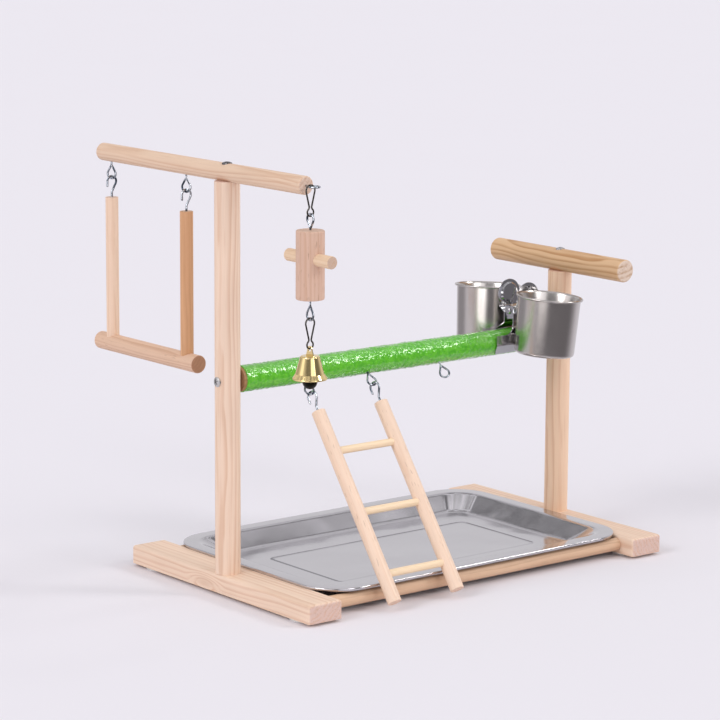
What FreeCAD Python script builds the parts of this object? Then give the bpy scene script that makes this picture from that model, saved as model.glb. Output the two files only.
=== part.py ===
import FreeCAD, Part
import math
import os

# Parrot play stand. Two wooden feet carry two posts, a coated crossbar and two top perches.
# A swing, a ladder, a bell toy, a drip tray and a clip-on pair of feeder cups hang or sit on it.
# Millimetres. Z is up from the table, X runs along the crossbar, and -Y is the front.

V = FreeCAD.Vector
X_AXIS = V(1, 0, 0)
Y_AXIS = V(0, 1, 0)
Z_AXIS = V(0, 0, 1)

# ---------------------------------------------------------------- driving sizes
# Feet, rails and posts
stand_width = 461.0
beam_width = 40.0
beam_height = 18.4
beam_length = 295.0
beam_edge = 3.0
pad_diameter = 36.0
pad_height = 3.0
pad_end_distance = 28.0
pad_edge = 0.8
rail_diameter = 13.5
rail_end_distance = 24.7
rail_socket_depth = 12.0
post_diameter = 25.0
post_edge_distance = 13.1
left_post_height = 387.0
right_post_height = 259.9
saddle_depth = 0.6

# Perches
upper_perch_diameter = 17.8
upper_perch_front = 124.0
upper_perch_rear = 213.0
low_perch_diameter = 23.5
low_perch_reach = 99.3
perch_end_edge = 2.0
crossbar_diameter = 25.0
crossbar_height = 213.4
crossbar_seat_depth = 0.8
grip_thickness = 1.0
grip_end_margin = 2.4

# Pan-head screws
screw_diameter = 4.0
screw_head_diameter = 10.0
screw_head_height = 2.6
screw_spot_depth = 1.2
screw_recess_depth = 1.3
screw_recess_width = 1.1
screw_bite = 22.0
crossbar_screw_turn = 30.0
perch_screw_turn = 20.0

# Eye screws and cup hooks, all from the same wire goods
eye_wire = 2.0
eye_ring_width = 11.5
eye_ring_length = 15.0
eye_shank = 3.2
eye_bite = 9.0
hook_wire = 2.2
hook_height = 22.5
hook_cup_width = 12.8
hook_cup_offset = 0.0
hook_entry_angle = 30.0
hook_tip_length = 4.5
hook_bite = 12.0

# Swing
swing_front_eye_y = 67.5
swing_rear_eye_y = 197.5
swing_upright_diameter = 13.0
swing_eye_turn = 24.0
swing_upright_length = 147.6
swing_bar_diameter = 18.0
swing_bar_overhang_front = 19.5
swing_bar_overhang_rear = 21.5
swing_socket_depth = 7.0

# Ladder
ladder_post_distance = 88.1
ladder_spacing = 79.1
ladder_eye_angle = 42.0
ladder_rail_diameter = 14.0
ladder_rail_length = 207.0
ladder_hook_turn = 72.0
ladder_eye_turn = 8.0
ladder_eye_shank = 1.0
rung_diameter = 7.6
rung_socket_depth = 8.0
rung_first_distance = 44.0
rung_pitch = 66.5
rung_count = 3
spare_eye_distance = 93.7
spare_eye_turn = 28.0
spare_eye_shank = 4.2

# Tray
tray_beam_overlap = 7.75
tray_rail_overlap = 11.2
tray_corner = 42.0
tray_shift_x = 4.0
tray_shift_y = 3.0
tray_flange_width = 15.0
tray_flange_front = 16.5
tray_mouth_corner = 30.0
tray_wall_run = 23.5
tray_pan_depth = 14.7
tray_floor_corner = 20.0
tray_panel_margin_x = 29.0
tray_panel_margin_y = 34.5
tray_panel_shift_y = -5.5
tray_panel_corner = 8.0
tray_panel_step = 2.2
tray_panel_slope = 4.0
tray_sheet = 0.8
tray_rim_height = 3.0
tray_rim_width = 1.8
tray_rim_edge = 1.0

# Bell toy
clip_wire = 1.6
clip_length = 30.5
clip_top_width = 11.8
clip_bottom_width = 8.8
clip_waist_width = 4.5
clip_waist_bend = 3.0
block_diameter = 27.0
block_length = 64.8
block_edge = 1.2
block_top_shank = 1.1
block_bottom_shank = 5.8
cross_dowel_diameter = 12.1
cross_dowel_length = 66.0
cross_dowel_drop = 26.6
bell_height = 22.4
bell_lip_diameter = 32.4
bell_waist_diameter = 27.4
bell_shoulder_diameter = 16.8
bell_wall = 1.0
bell_strap_width = 11.0
bell_strap_top_width = 6.8
bell_strap_thickness = 1.0
bell_strap_hole = 4.0
bell_strap_neck = 3.7
clapper_diameter = 14.2
clapper_rod = 1.6
clapper_drop = 20.2
clapper_pin_drop = 4.6

# Feeder clamp and cups
clamp_post_distance = 58.4
clamp_pin_rise = 31.4
clamp_pin_diameter = 4.0
clamp_pin_head = 7.0
clamp_pin_head_height = 1.2
clamp_sheet = 1.0
clamp_grip_clearance = 0.8
jaw_width = 84.0
jaw_top_rise = 9.6
jaw_bend_drop = 0.9
jaw_lip_angle = 19.0
jaw_lip_drop = 9.4
jaw_flare_start = 12.0
jaw_flare_height = 9.0
neck_width = 26.0
neck_gap = 13.0
neck_low_rise = 18.0
neck_high_drop = 2.0
plate_bend = 1.2
thumb_disc_diameter = 29.0
thumb_disc_rise = 47.6
thumb_dish_diameter = 23.0
thumb_dish_depth = 1.5
ear_radius = 5.0
spring_wire = 1.6
spring_mean_diameter = 7.8
spring_turns = 5
spring_turn_gap = 0.6
spring_arm_rise = 20.5
cup_diameter = 65.0
cup_taper = 3.0
cup_height = 61.0
cup_wall = 0.8
cup_corner = 4.0
cup_rim_diameter = 70.0
cup_rim_thickness = 2.4
cup_rim_rise = 52.4
cup_lean_out = 2.5
cup_lean_side = 4.0
cup_weld_sink = 0.4

# Clearances
glue_gap = 0.05
end_gap = 0.5
link_gap = 0.35
rest_gap = 0.3
pin_gap = 0.05
ear_gap = 0.3

# ---------------------------------------------------------------- places that follow from the sizes
beam_bottom = pad_height
beam_top = beam_bottom + beam_height
beam_inner = stand_width / 2 - beam_width
beam_centre = stand_width / 2 - beam_width / 2
rail_y = beam_length / 2 - rail_end_distance
rail_z = beam_bottom + beam_height / 2
post_x = stand_width / 2 - post_edge_distance
post_r = post_diameter / 2
left_post_top = beam_top + left_post_height
right_post_top = beam_top + right_post_height
upper_perch_r = upper_perch_diameter / 2
upper_perch_z = left_post_top - saddle_depth + upper_perch_r
low_perch_r = low_perch_diameter / 2
low_perch_z = right_post_top - saddle_depth + low_perch_r
crossbar_r = crossbar_diameter / 2
crossbar_end = post_x - post_r + crossbar_seat_depth
grip_r = crossbar_r + grip_thickness
grip_end = post_x - post_r - grip_end_margin
clamp_x = post_x - clamp_post_distance
ladder_left_x = ladder_post_distance - post_x
spare_eye_x = ladder_left_x + ladder_spacing + spare_eye_distance
screw_r = screw_diameter / 2
screw_head_r = screw_head_diameter / 2

eye_r = eye_wire / 2
ring_r = (eye_ring_width - eye_wire) / 2
eye_reach = eye_ring_length - eye_r
hook_r = hook_wire / 2
hook_cup_r = (hook_cup_width - hook_wire) / 2
hook_hang = hook_height - hook_wire - link_gap - eye_r
clip_r = clip_wire / 2
clip_drop = clip_length - clip_wire

swing_hinge_z = upper_perch_z - upper_perch_r - eye_shank - eye_reach
swing_shank_x = -post_x + hook_cup_offset
swing_upright_top = swing_hinge_z - hook_hang
swing_upright_bottom = swing_upright_top - swing_upright_length
swing_bar_r = swing_bar_diameter / 2
swing_bar_z = swing_upright_bottom + swing_socket_depth - swing_bar_r


# ---------------------------------------------------------------- helpers
def rod(radius, start, end, edge=0.0):
    """A round rod from start to end, with its two ends rounded off by edge."""
    axis = end - start
    solid = Part.makeCylinder(radius, axis.Length, start, axis)
    if edge > 0:
        rims = [e for e in solid.Edges if isinstance(e.Curve, Part.Circle)]
        solid = solid.makeFillet(edge, rims)
    return solid


def bore(radius, start, axis, depth):
    """A round cutter that starts at start and runs along axis."""
    return Part.makeCylinder(radius, depth, start, axis)


def circle_wire(radius, centre, normal):
    """A circle as a wire, for pipes and revolved tubes."""
    return Part.Wire(Part.makeCircle(radius, centre, normal))


def pipe(edges, radius):
    """Round wire of the given radius along tangent edges."""
    path = Part.Wire(edges)
    start = path.Edges[0].valueAt(path.Edges[0].FirstParameter)
    tangent = path.Edges[0].tangentAt(path.Edges[0].FirstParameter)
    return path.makePipeShell([circle_wire(radius, start, tangent)], True, False)


def ring_arc(radius, centre, axis, start, sweep):
    """Part of a round-wire ring: the wire starts at start and turns by sweep degrees about axis."""
    tangent = axis.cross(start - centre)
    face = Part.Face(circle_wire(radius, start, tangent))
    return face.revolve(centre, axis, sweep)


def turned(profile, origin=V(0, 0, 0)):
    """A solid of revolution about Z from (r, z) points; a third value bows the edge to the next."""
    edges = []
    for here, there in zip(profile, profile[1:] + profile[:1]):
        start = V(here[0], 0, here[1])
        end = V(there[0], 0, there[1])
        if start.distanceToPoint(end) < 1e-6:
            continue
        if len(here) == 3:
            along = end - start
            middle = (start + end) * 0.5 + along.cross(Y_AXIS).normalize() * here[2]
            edges.append(Part.Arc(start, middle, end).toShape())
        else:
            edges.append(Part.LineSegment(start, end).toShape())
    solid = Part.Face(Part.Wire(edges)).revolve(V(0, 0, 0), Z_AXIS, 360)
    solid.translate(origin)
    return solid


def rounded_plate(half_x, half_y, corner, z, centre):
    """The outline of a rectangle with round corners at height z, as a wire."""
    edges = []
    corners = ((1, 1), (-1, 1), (-1, -1), (1, -1))
    for index, (sx, sy) in enumerate(corners):
        hub = V(centre.x + sx * (half_x - corner), centre.y + sy * (half_y - corner), z)
        first = math.radians(90 * index)
        arc = [hub + V(math.cos(a), math.sin(a), 0) * corner
               for a in (first, first + math.pi / 4, first + math.pi / 2)]
        if edges:
            edges.append(Part.LineSegment(edges[-1].valueAt(edges[-1].LastParameter), arc[0]).toShape())
        edges.append(Part.Arc(arc[0], arc[1], arc[2]).toShape())
    closing_start = edges[-1].valueAt(edges[-1].LastParameter)
    closing_end = edges[0].valueAt(edges[0].FirstParameter)
    edges.append(Part.LineSegment(closing_start, closing_end).toShape())
    return Part.Wire(edges)


def plate_prism(half_x, half_y, corner, low, high, centre):
    """A slab with round corners from height low to height high."""
    face = Part.Face(rounded_plate(half_x, half_y, corner, low, centre))
    return face.extrude(V(0, 0, high - low))


def plate_loft(low, high, centre):
    """A tapered slab between two rounded rectangles, each (half_x, half_y, corner, z)."""
    return Part.makeLoft([rounded_plate(*low, centre), rounded_plate(*high, centre)], True, True)


def export(name, *solids):
    """Write one sub-part, or a group of equal fasteners, to its own file."""
    shape = solids[0] if len(solids) == 1 else Part.makeCompound(list(solids))
    shape.translate(own_frame())
    shape.exportStep("parts/" + name + ".step")
    print(name, len(shape.Solids), round(shape.Volume, 1))


# ---------------------------------------------------------------- wire goods
def pan_screw(seat, outward, length, turn=0.0):
    """A pan-head wood screw; its head stands on seat and points outward."""
    head_h = screw_head_height
    crown = head_h * 0.45
    profile = [(0, head_h), (0, -length), (screw_r, -length + 2 * screw_r), (screw_r, 0),
               (screw_head_r, 0), (screw_head_r, head_h - crown, -0.35)]
    screw = turned(profile)
    for angle in (turn, turn + 90):
        slot = Part.makeBox(screw_head_diameter * 0.56, screw_recess_width, screw_recess_depth * 2,
                            V(-screw_head_diameter * 0.28, -screw_recess_width / 2,
                              head_h - screw_recess_depth))
        slot.rotate(V(0, 0, 0), Z_AXIS, angle)
        screw = screw.cut(slot)
    screw.Placement = FreeCAD.Placement(seat, FreeCAD.Rotation(Z_AXIS, outward))
    return screw


def eye_screw(root, outward, side, shank=eye_shank):
    """An eye screw that leaves the wood at root; its drop-shaped ring lies in outward and side."""
    apex = root + outward * shank
    hub = apex + outward * (eye_reach - ring_r)
    normal = side.cross(outward).normalize()
    to_apex = (eye_reach - ring_r)
    half_angle = math.acos(ring_r / to_apex)
    touch = []
    for sign in (1, -1):
        spoke = outward * (-math.cos(half_angle)) + side * (sign * math.sin(half_angle))
        touch.append(hub + spoke * ring_r)
    sweep = 360 - 2 * math.degrees(half_angle)
    bow = ring_arc(eye_r, hub, normal, touch[0], sweep)
    thread = Part.makeCone(0.1, eye_r, eye_wire, root - outward * eye_bite, outward)
    body = thread.fuse([Part.makeCylinder(eye_r, eye_bite - eye_wire + shank,
                                          root - outward * (eye_bite - eye_wire), outward),
                        Part.makeSphere(eye_r, apex), bow,
                        rod(eye_r, apex, touch[0]), rod(eye_r, apex, touch[1])])
    return body.removeSplitter()


def eye_pilot(root, outward):
    """The hole that an eye screw sits in."""
    return bore(eye_r + glue_gap, root + outward * end_gap, outward * -1, eye_bite + 2 * end_gap)


def cup_hook(root, upward, side):
    """A question-mark hook on the wood at root; its cup lies to the far side of its shank."""
    def at(s, h):
        return root + side * s + upward * h

    hub_s = -hook_cup_offset
    hub_h = hook_height - hook_r - hook_cup_r
    entry = math.radians(hook_entry_angle)
    touch_s = hub_s + hook_cup_r * math.cos(entry)
    touch_h = hub_h - hook_cup_r * math.sin(entry)
    knee_h = touch_h - touch_s / math.tan(entry)
    trim = 1.2
    knee_low = (0, knee_h - trim)
    knee_high = (trim * math.sin(entry), knee_h + trim * math.cos(entry))
    bend_r = trim / math.tan(entry / 2)
    knee_mid = (bend_r - bend_r * math.cos(entry / 2), knee_h - trim + bend_r * math.sin(entry / 2))
    over = math.radians((180 - hook_entry_angle) / 2)
    edges = [Part.LineSegment(at(0, -hook_bite + hook_wire), at(*knee_low)).toShape(),
             Part.Arc(at(*knee_low), at(*knee_mid), at(*knee_high)).toShape(),
             Part.LineSegment(at(*knee_high), at(touch_s, touch_h)).toShape(),
             Part.Arc(at(touch_s, touch_h),
                      at(hub_s + hook_cup_r * math.cos(over), hub_h + hook_cup_r * math.sin(over)),
                      at(hub_s - hook_cup_r, hub_h)).toShape(),
             Part.LineSegment(at(hub_s - hook_cup_r, hub_h),
                              at(hub_s - hook_cup_r, hub_h - hook_tip_length)).toShape()]
    point = Part.makeCone(0.1, hook_r, hook_wire, at(0, -hook_bite), upward)
    tip = Part.makeSphere(hook_r, at(hub_s - hook_cup_r, hub_h - hook_tip_length))
    return pipe(edges, hook_r).fuse([point, tip]).removeSplitter()


def hook_pilot(root, upward):
    """The hole that a cup hook sits in."""
    return bore(hook_r + glue_gap, root + upward * end_gap, upward * -1, hook_bite + 2 * end_gap)


def spring_clip(top, side):
    """A closed spring-wire clip that hangs from top: a long loop above its waist, a small one below."""
    top_r = (clip_top_width - clip_wire) / 2
    bottom_r = (clip_bottom_width - clip_wire) / 2
    hollow_s = (clip_waist_width - clip_wire) / 2 + clip_waist_bend
    top_hub = -top_r
    bottom_hub = -clip_drop + bottom_r
    hollow_hub = bottom_hub + math.sqrt((bottom_r + clip_waist_bend) ** 2 - hollow_s ** 2)
    fall = math.atan2(hollow_hub - top_hub, hollow_s)
    span = math.hypot(hollow_s, hollow_hub - top_hub)
    leg = math.degrees(fall + math.acos((top_r + clip_waist_bend) / span))
    lower = math.degrees(math.atan2(hollow_hub - bottom_hub, hollow_s))

    halves = []
    for hand in (1, -1):
        def on(hub_s, hub_h, radius, degrees):
            angle = math.radians(degrees)
            return (top + side * (hand * (hub_s + radius * math.cos(angle)))
                    + Z_AXIS * (hub_h + radius * math.sin(angle)))

        edges = [Part.Arc(on(0, top_hub, top_r, 90), on(0, top_hub, top_r, (90 + leg) / 2),
                          on(0, top_hub, top_r, leg)).toShape(),
                 Part.LineSegment(on(0, top_hub, top_r, leg),
                                  on(hollow_s, hollow_hub, clip_waist_bend, leg + 180)).toShape(),
                 Part.Arc(on(hollow_s, hollow_hub, clip_waist_bend, leg + 180),
                          on(hollow_s, hollow_hub, clip_waist_bend, 180 + (leg + lower) / 2),
                          on(0, bottom_hub, bottom_r, lower)).toShape(),
                 Part.Arc(on(0, bottom_hub, bottom_r, lower),
                          on(0, bottom_hub, bottom_r, (lower - 90) / 2),
                          on(0, bottom_hub, bottom_r, -90)).toShape()]
        halves.append(pipe(edges, clip_r))
    return halves[0].fuse(halves[1])


# ---------------------------------------------------------------- feet, rails and posts
def foot_beam(side):
    """One foot beam; side is -1 for the left foot and 1 for the right one."""
    low_x = side * beam_centre - beam_width / 2
    beam = Part.makeBox(beam_width, beam_length, beam_height, V(low_x, -beam_length / 2, beam_bottom))
    edges = [e for e in beam.Edges if e.CenterOfMass.z > beam_bottom + beam_edge]
    beam = beam.makeFillet(beam_edge, edges)
    for y in (-rail_y, rail_y):
        beam = beam.cut(bore(rail_diameter / 2 + glue_gap, V(side * beam_inner, y, rail_z),
                             X_AXIS * side, rail_socket_depth + end_gap))
    below = V(side * post_x, 0, beam_bottom)
    beam = beam.cut(bore(screw_r + glue_gap, below, Z_AXIS, beam_height))
    return beam.cut(bore(screw_head_r + end_gap, below, Z_AXIS, screw_head_height + end_gap))


def floor_rail(y):
    """A dowel that ties the two feet together."""
    reach = beam_inner + rail_socket_depth
    return rod(rail_diameter / 2, V(-reach, y, rail_z), V(reach, y, rail_z))


def foot_pad(x, y):
    """A soft round pad under a beam's end."""
    r = pad_diameter / 2
    return turned([(0, 0), (r - pad_edge, 0), (r, pad_edge), (r, pad_height), (0, pad_height)],
                  V(x, y, 0))


def foot_pads():
    """The four pads."""
    pad_y = beam_length / 2 - pad_end_distance
    return [foot_pad(x, y) for x in (-beam_centre, beam_centre) for y in (-pad_y, pad_y)]


def base_screw(side):
    """The screw that holds a post from below."""
    seat = V(side * post_x, 0, beam_bottom + screw_head_height + end_gap)
    return pan_screw(seat, Z_AXIS * -1, beam_height + screw_bite)


def crossbar_screw(side):
    """The screw through a post into the crossbar's end."""
    seat = V(side * (post_x + post_r - screw_spot_depth), 0, crossbar_height)
    length = post_diameter - screw_spot_depth - crossbar_seat_depth + screw_bite
    return pan_screw(seat, X_AXIS * side, length, crossbar_screw_turn)


def post(side, top, perch_r, perch_z):
    """A post with a saddle for its perch, a flat for the crossbar and holes for three screws."""
    shaft = rod(post_r, V(side * post_x, 0, beam_top), V(side * post_x, 0, top))
    saddle = Part.makeCylinder(perch_r, post_diameter * 2, V(side * post_x, -post_diameter, perch_z), Y_AXIS)
    seat_x = side * crossbar_end
    seat = bore(crossbar_r + glue_gap, V(seat_x, 0, crossbar_height), X_AXIS * -side, post_r)
    spot_x = side * (post_x + post_r - screw_spot_depth)
    spot = bore(screw_head_r + glue_gap, V(spot_x, 0, crossbar_height), X_AXIS * side, post_r)
    through = bore(screw_r + glue_gap, V(side * (post_x + post_r), 0, crossbar_height),
                   X_AXIS * -side, post_diameter)
    from_below = bore(screw_r + glue_gap, V(side * post_x, 0, beam_top), Z_AXIS,
                      screw_bite + screw_head_height + 2 * end_gap)
    from_above = bore(screw_r + glue_gap, V(side * post_x, 0, top), Z_AXIS * -1, screw_bite + end_gap)
    return shaft.cut([saddle, seat, spot, through, from_below, from_above])


# ---------------------------------------------------------------- perches and crossbar
def perch(side, radius, z, front, rear, eye_places=()):
    """A round perch on its post, with the spot and hole for its screw and any eye screws."""
    bar = rod(radius, V(side * post_x, -front, z), V(side * post_x, rear, z), perch_end_edge)
    head_z = z + radius - screw_spot_depth
    cutters = [bore(screw_head_r + glue_gap, V(side * post_x, 0, head_z), Z_AXIS, radius),
               bore(screw_r + glue_gap, V(side * post_x, 0, head_z), Z_AXIS * -1, 2 * radius)]
    cutters += [eye_pilot(root, outward) for root, outward in eye_places]
    return bar.cut(cutters)


def perch_screw(side, radius, z):
    """The screw on top of a perch, down into its post."""
    seat = V(side * post_x, 0, z + radius - screw_spot_depth)
    length = 2 * radius - screw_spot_depth - saddle_depth + screw_bite
    return pan_screw(seat, Z_AXIS, length, perch_screw_turn)


def swing_eye_places():
    """Where the swing's two eyes leave the upper perch."""
    root_z = upper_perch_z - upper_perch_r
    return [(V(-post_x, y, root_z), Z_AXIS * -1) for y in (swing_front_eye_y, swing_rear_eye_y)]


def toy_eye_place():
    """Where the toy's eye leaves the front end of the upper perch."""
    return V(-post_x, -upper_perch_front, upper_perch_z), Y_AXIS * -1


def crossbar_eye_place(x):
    """Where an eye leaves the crossbar, on its lower front side."""
    angle = math.radians(ladder_eye_angle)
    outward = V(0, -math.sin(angle), -math.cos(angle))
    return V(x, 0, crossbar_height) + outward * grip_r, outward


def crossbar_eye_xs():
    """The places of the crossbar's three eyes along it."""
    return [ladder_left_x, ladder_left_x + ladder_spacing, spare_eye_x]


def crossbar_eye(x, turn, shank):
    """An eye on the crossbar; its ring is turned a little about its shank."""
    root, outward = crossbar_eye_place(x)
    side = FreeCAD.Rotation(outward, turn).multVec(X_AXIS)
    return eye_screw(root, outward, side, shank)


def crossbar():
    """The wooden bar between the posts, with its screw and eye holes."""
    bar = rod(crossbar_r, V(-crossbar_end, 0, crossbar_height), V(crossbar_end, 0, crossbar_height))
    cutters = [bore(screw_r + glue_gap, V(side * crossbar_end, 0, crossbar_height), X_AXIS * -side,
                    screw_bite + end_gap) for side in (-1, 1)]
    cutters += [eye_pilot(*crossbar_eye_place(x)) for x in crossbar_eye_xs()]
    return bar.cut(cutters)


def crossbar_grip():
    """The rough coating on the crossbar, open where the eyes come out."""
    low, high = V(-grip_end, 0, crossbar_height), V(grip_end, 0, crossbar_height)
    sleeve = rod(grip_r, low, high).cut(rod(crossbar_r, low, high))
    return sleeve.cut([eye_pilot(*crossbar_eye_place(x)) for x in crossbar_eye_xs()])


# ---------------------------------------------------------------- swing
def swing_hook(y):
    """One of the swing's hooks, above an upright."""
    return cup_hook(V(swing_shank_x, y, swing_upright_top), Z_AXIS, X_AXIS)


def swing_upright(y):
    """One of the swing's uprights, glued into the bar."""
    root = V(swing_shank_x, y, swing_upright_top)
    shaft = rod(swing_upright_diameter / 2, V(swing_shank_x, y, swing_upright_bottom), root)
    return shaft.cut(hook_pilot(root, Z_AXIS))


def swing_bar():
    """The bar that the bird sits on, bored for the uprights."""
    low = swing_front_eye_y - swing_bar_overhang_front
    high = swing_rear_eye_y + swing_bar_overhang_rear
    bar = rod(swing_bar_r, V(swing_shank_x, low, swing_bar_z), V(swing_shank_x, high, swing_bar_z), 1.0)
    sockets = [bore(swing_upright_diameter / 2 + glue_gap, V(swing_shank_x, y, swing_upright_bottom),
                    Z_AXIS, swing_bar_diameter) for y in (swing_front_eye_y, swing_rear_eye_y)]
    return bar.cut(sockets)


# ---------------------------------------------------------------- tray
tray_half_x = beam_inner + tray_beam_overlap
tray_half_y = rail_y + tray_rail_overlap
tray_centre = V(tray_shift_x, tray_shift_y, 0)
panel_centre = tray_centre + Y_AXIS * tray_panel_shift_y
tray_top = beam_top + tray_rim_height
tray_floor_z = tray_top - tray_pan_depth
mouth_half_x = tray_half_x - tray_flange_width
mouth_half_y = tray_half_y - tray_flange_front
floor_half_x = mouth_half_x - tray_wall_run
floor_half_y = mouth_half_y - tray_wall_run
panel_half_x = floor_half_x - tray_panel_margin_x
panel_half_y = floor_half_y - tray_panel_margin_y


def tray():
    """The pressed sheet tray: a flange with a turned-down rim, sloped walls and a sunk floor panel."""
    wall_length = math.hypot(tray_wall_run, tray_pan_depth)
    skin = tray_sheet * wall_length / tray_pan_depth
    foot = skin - tray_sheet * tray_wall_run / tray_pan_depth
    under = tray_floor_z - tray_sheet
    panel_z = tray_floor_z - tray_panel_step
    panel_low = (panel_half_x - tray_panel_slope, panel_half_y - tray_panel_slope,
                 tray_panel_corner - tray_panel_slope)

    cap = plate_prism(tray_half_x, tray_half_y, tray_corner, beam_top, tray_top, tray_centre)
    top_edges = [e for e in cap.Edges if abs(e.CenterOfMass.z - tray_top) < 1e-4]
    cap = cap.makeFillet(tray_rim_edge, top_edges)
    cap = cap.cut(plate_prism(tray_half_x - tray_rim_width, tray_half_y - tray_rim_width,
                              tray_corner - tray_rim_width, beam_top, tray_top - tray_sheet, tray_centre))
    pan = plate_loft((floor_half_x + foot, floor_half_y + foot, tray_floor_corner + foot, under),
                     (mouth_half_x + skin, mouth_half_y + skin, tray_mouth_corner + skin, tray_top),
                     tray_centre)
    well = plate_loft((*panel_low, panel_z - tray_sheet),
                      (panel_half_x, panel_half_y, tray_panel_corner, under), panel_centre)
    mouth = plate_loft((floor_half_x, floor_half_y, tray_floor_corner, tray_floor_z),
                       (mouth_half_x, mouth_half_y, tray_mouth_corner, tray_top), tray_centre)
    sink = plate_loft((panel_low[0] - tray_sheet, panel_low[1] - tray_sheet, panel_low[2], panel_z),
                      (panel_half_x - tray_sheet, panel_half_y - tray_sheet, tray_panel_corner,
                       tray_floor_z), panel_centre)
    return cap.fuse([pan, well]).cut([mouth, sink])


# ---------------------------------------------------------------- ladder
ladder_root, ladder_eye_out = crossbar_eye_place(0)
ladder_hinge = ladder_root + ladder_eye_out * (ladder_eye_shank + eye_reach)
tray_front = V(0, tray_shift_y - tray_half_y, tray_top)
ladder_to_rim = tray_front - ladder_hinge
ladder_rail_r = ladder_rail_diameter / 2


def ladder_frame():
    """The ladder's lean, its down direction, its outward normal and where its hooks meet the rails."""
    turn = math.radians(ladder_hook_turn)
    set_out = hook_cup_offset * math.sin(turn)
    steep = math.atan2(-ladder_to_rim.y, -ladder_to_rim.z)
    lean = steep + math.asin((ladder_rail_r + rest_gap - set_out) / ladder_to_rim.Length)
    down = V(0, -math.sin(lean), -math.cos(lean))
    normal = V(0, -math.cos(lean), math.sin(lean))
    side = X_AXIS * math.cos(turn) + normal * math.sin(turn)
    shift = side * hook_cup_offset
    top = ladder_hinge + down * hook_hang + shift
    return lean, down, normal, side, top


ladder_lean, ladder_down, ladder_normal, ladder_hook_side, ladder_top = ladder_frame()


def ladder_rail_xs():
    """The X places of the two rails, set off from their eyes by the hooks' turn."""
    return [x + ladder_top.x for x in crossbar_eye_xs()[:2]]


def ladder_rail_root(x):
    """The middle of a rail's top end."""
    return V(x, ladder_top.y, ladder_top.z)


def ladder_hook(x):
    """The hook on top of a rail."""
    return cup_hook(ladder_rail_root(x), ladder_down * -1, ladder_hook_side)


def rung_distances():
    """How far down the rails each rung sits."""
    return [rung_first_distance + index * rung_pitch for index in range(rung_count)]


def ladder_rail(x, inward):
    """A ladder rail with its hook hole and blind rung holes; inward is 1 or -1 along X."""
    root = ladder_rail_root(x)
    rail = rod(ladder_rail_r, root, root + ladder_down * ladder_rail_length, 0.8)
    cutters = [hook_pilot(root, ladder_down * -1)]
    face_x = ladder_rail_r * inward
    for distance in rung_distances():
        deep = root + ladder_down * distance + X_AXIS * (face_x - inward * (rung_socket_depth + end_gap))
        cutters.append(bore(rung_diameter / 2 + glue_gap, deep, X_AXIS * inward,
                            ladder_rail_diameter))
    return rail.cut(cutters)


def ladder_rung(distance):
    """A rung between the rails."""
    left_x, right_x = ladder_rail_xs()
    reach = ladder_rail_r - rung_socket_depth
    start = ladder_rail_root(left_x + reach) + ladder_down * distance
    end = ladder_rail_root(right_x - reach) + ladder_down * distance
    return rod(rung_diameter / 2, start, end)


# ---------------------------------------------------------------- bell toy
toy_root, toy_outward = toy_eye_place()
toy_x = toy_root.x - ring_r
toy_y = toy_root.y - eye_shank - eye_reach + ring_r
upper_clip_top = upper_perch_z + eye_r + link_gap + clip_r
upper_clip_bottom = upper_clip_top - clip_drop
block_top = upper_clip_bottom + clip_r + link_gap + eye_r - eye_reach - block_top_shank
block_bottom = block_top - block_length
block_eye_bottom = block_bottom - block_bottom_shank - eye_reach
lower_clip_top = block_eye_bottom + eye_r + link_gap + clip_r
lower_clip_bottom = lower_clip_top - clip_drop
strap_hole_z = lower_clip_bottom + clip_r + link_gap - bell_strap_hole / 2
bell_top = strap_hole_z - bell_strap_hole / 2 - bell_strap_neck
bell_bottom = bell_top - bell_height
clapper_pin_z = bell_top - clapper_pin_drop
clapper_z = clapper_pin_z - clapper_drop


def toy_block():
    """The wooden block, bored for its cross dowel and its two eyes."""
    block = rod(block_diameter / 2, V(toy_x, toy_y, block_bottom), V(toy_x, toy_y, block_top), block_edge)
    dowel = bore(cross_dowel_diameter / 2 + glue_gap, V(toy_x, toy_y - block_diameter, block_top - cross_dowel_drop),
                 Y_AXIS, 2 * block_diameter)
    return block.cut([dowel, eye_pilot(V(toy_x, toy_y, block_top), Z_AXIS),
                      eye_pilot(V(toy_x, toy_y, block_bottom), Z_AXIS * -1)])


def cross_dowel():
    """The dowel through the block that a bird steps on."""
    z = block_top - cross_dowel_drop
    half = cross_dowel_length / 2
    return rod(cross_dowel_diameter / 2, V(toy_x, toy_y - half, z), V(toy_x, toy_y + half, z), 0.8)


def bell_shell():
    """The bell: a thin turned shell with a flared lip, closed at its shoulder."""
    lip, waist, top = bell_lip_diameter / 2, bell_waist_diameter / 2, bell_shoulder_diameter / 2
    wall, height = bell_wall, bell_height
    waist_z = height * 0.24
    outside = [(lip, 0, -0.35), (lip - 0.2, 1.6), (waist, waist_z), (top + 1.0, height - 1.6, -0.45),
               (top - 0.6, height), (0, height)]
    inside = [(0, height - wall), (top - 0.6, height - wall), (top + 0.1, height - 2.6),
              (waist - wall, waist_z), (lip - 1.6, 1.2), (lip - 1.2, 0)]
    shell = turned(outside + inside, V(toy_x, toy_y, bell_bottom))
    slot = bore(clapper_rod / 2 + glue_gap, V(toy_x, toy_y, bell_top - 3 * wall), Z_AXIS, 0.5 * wall)
    return shell.cut(slot)


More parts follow.
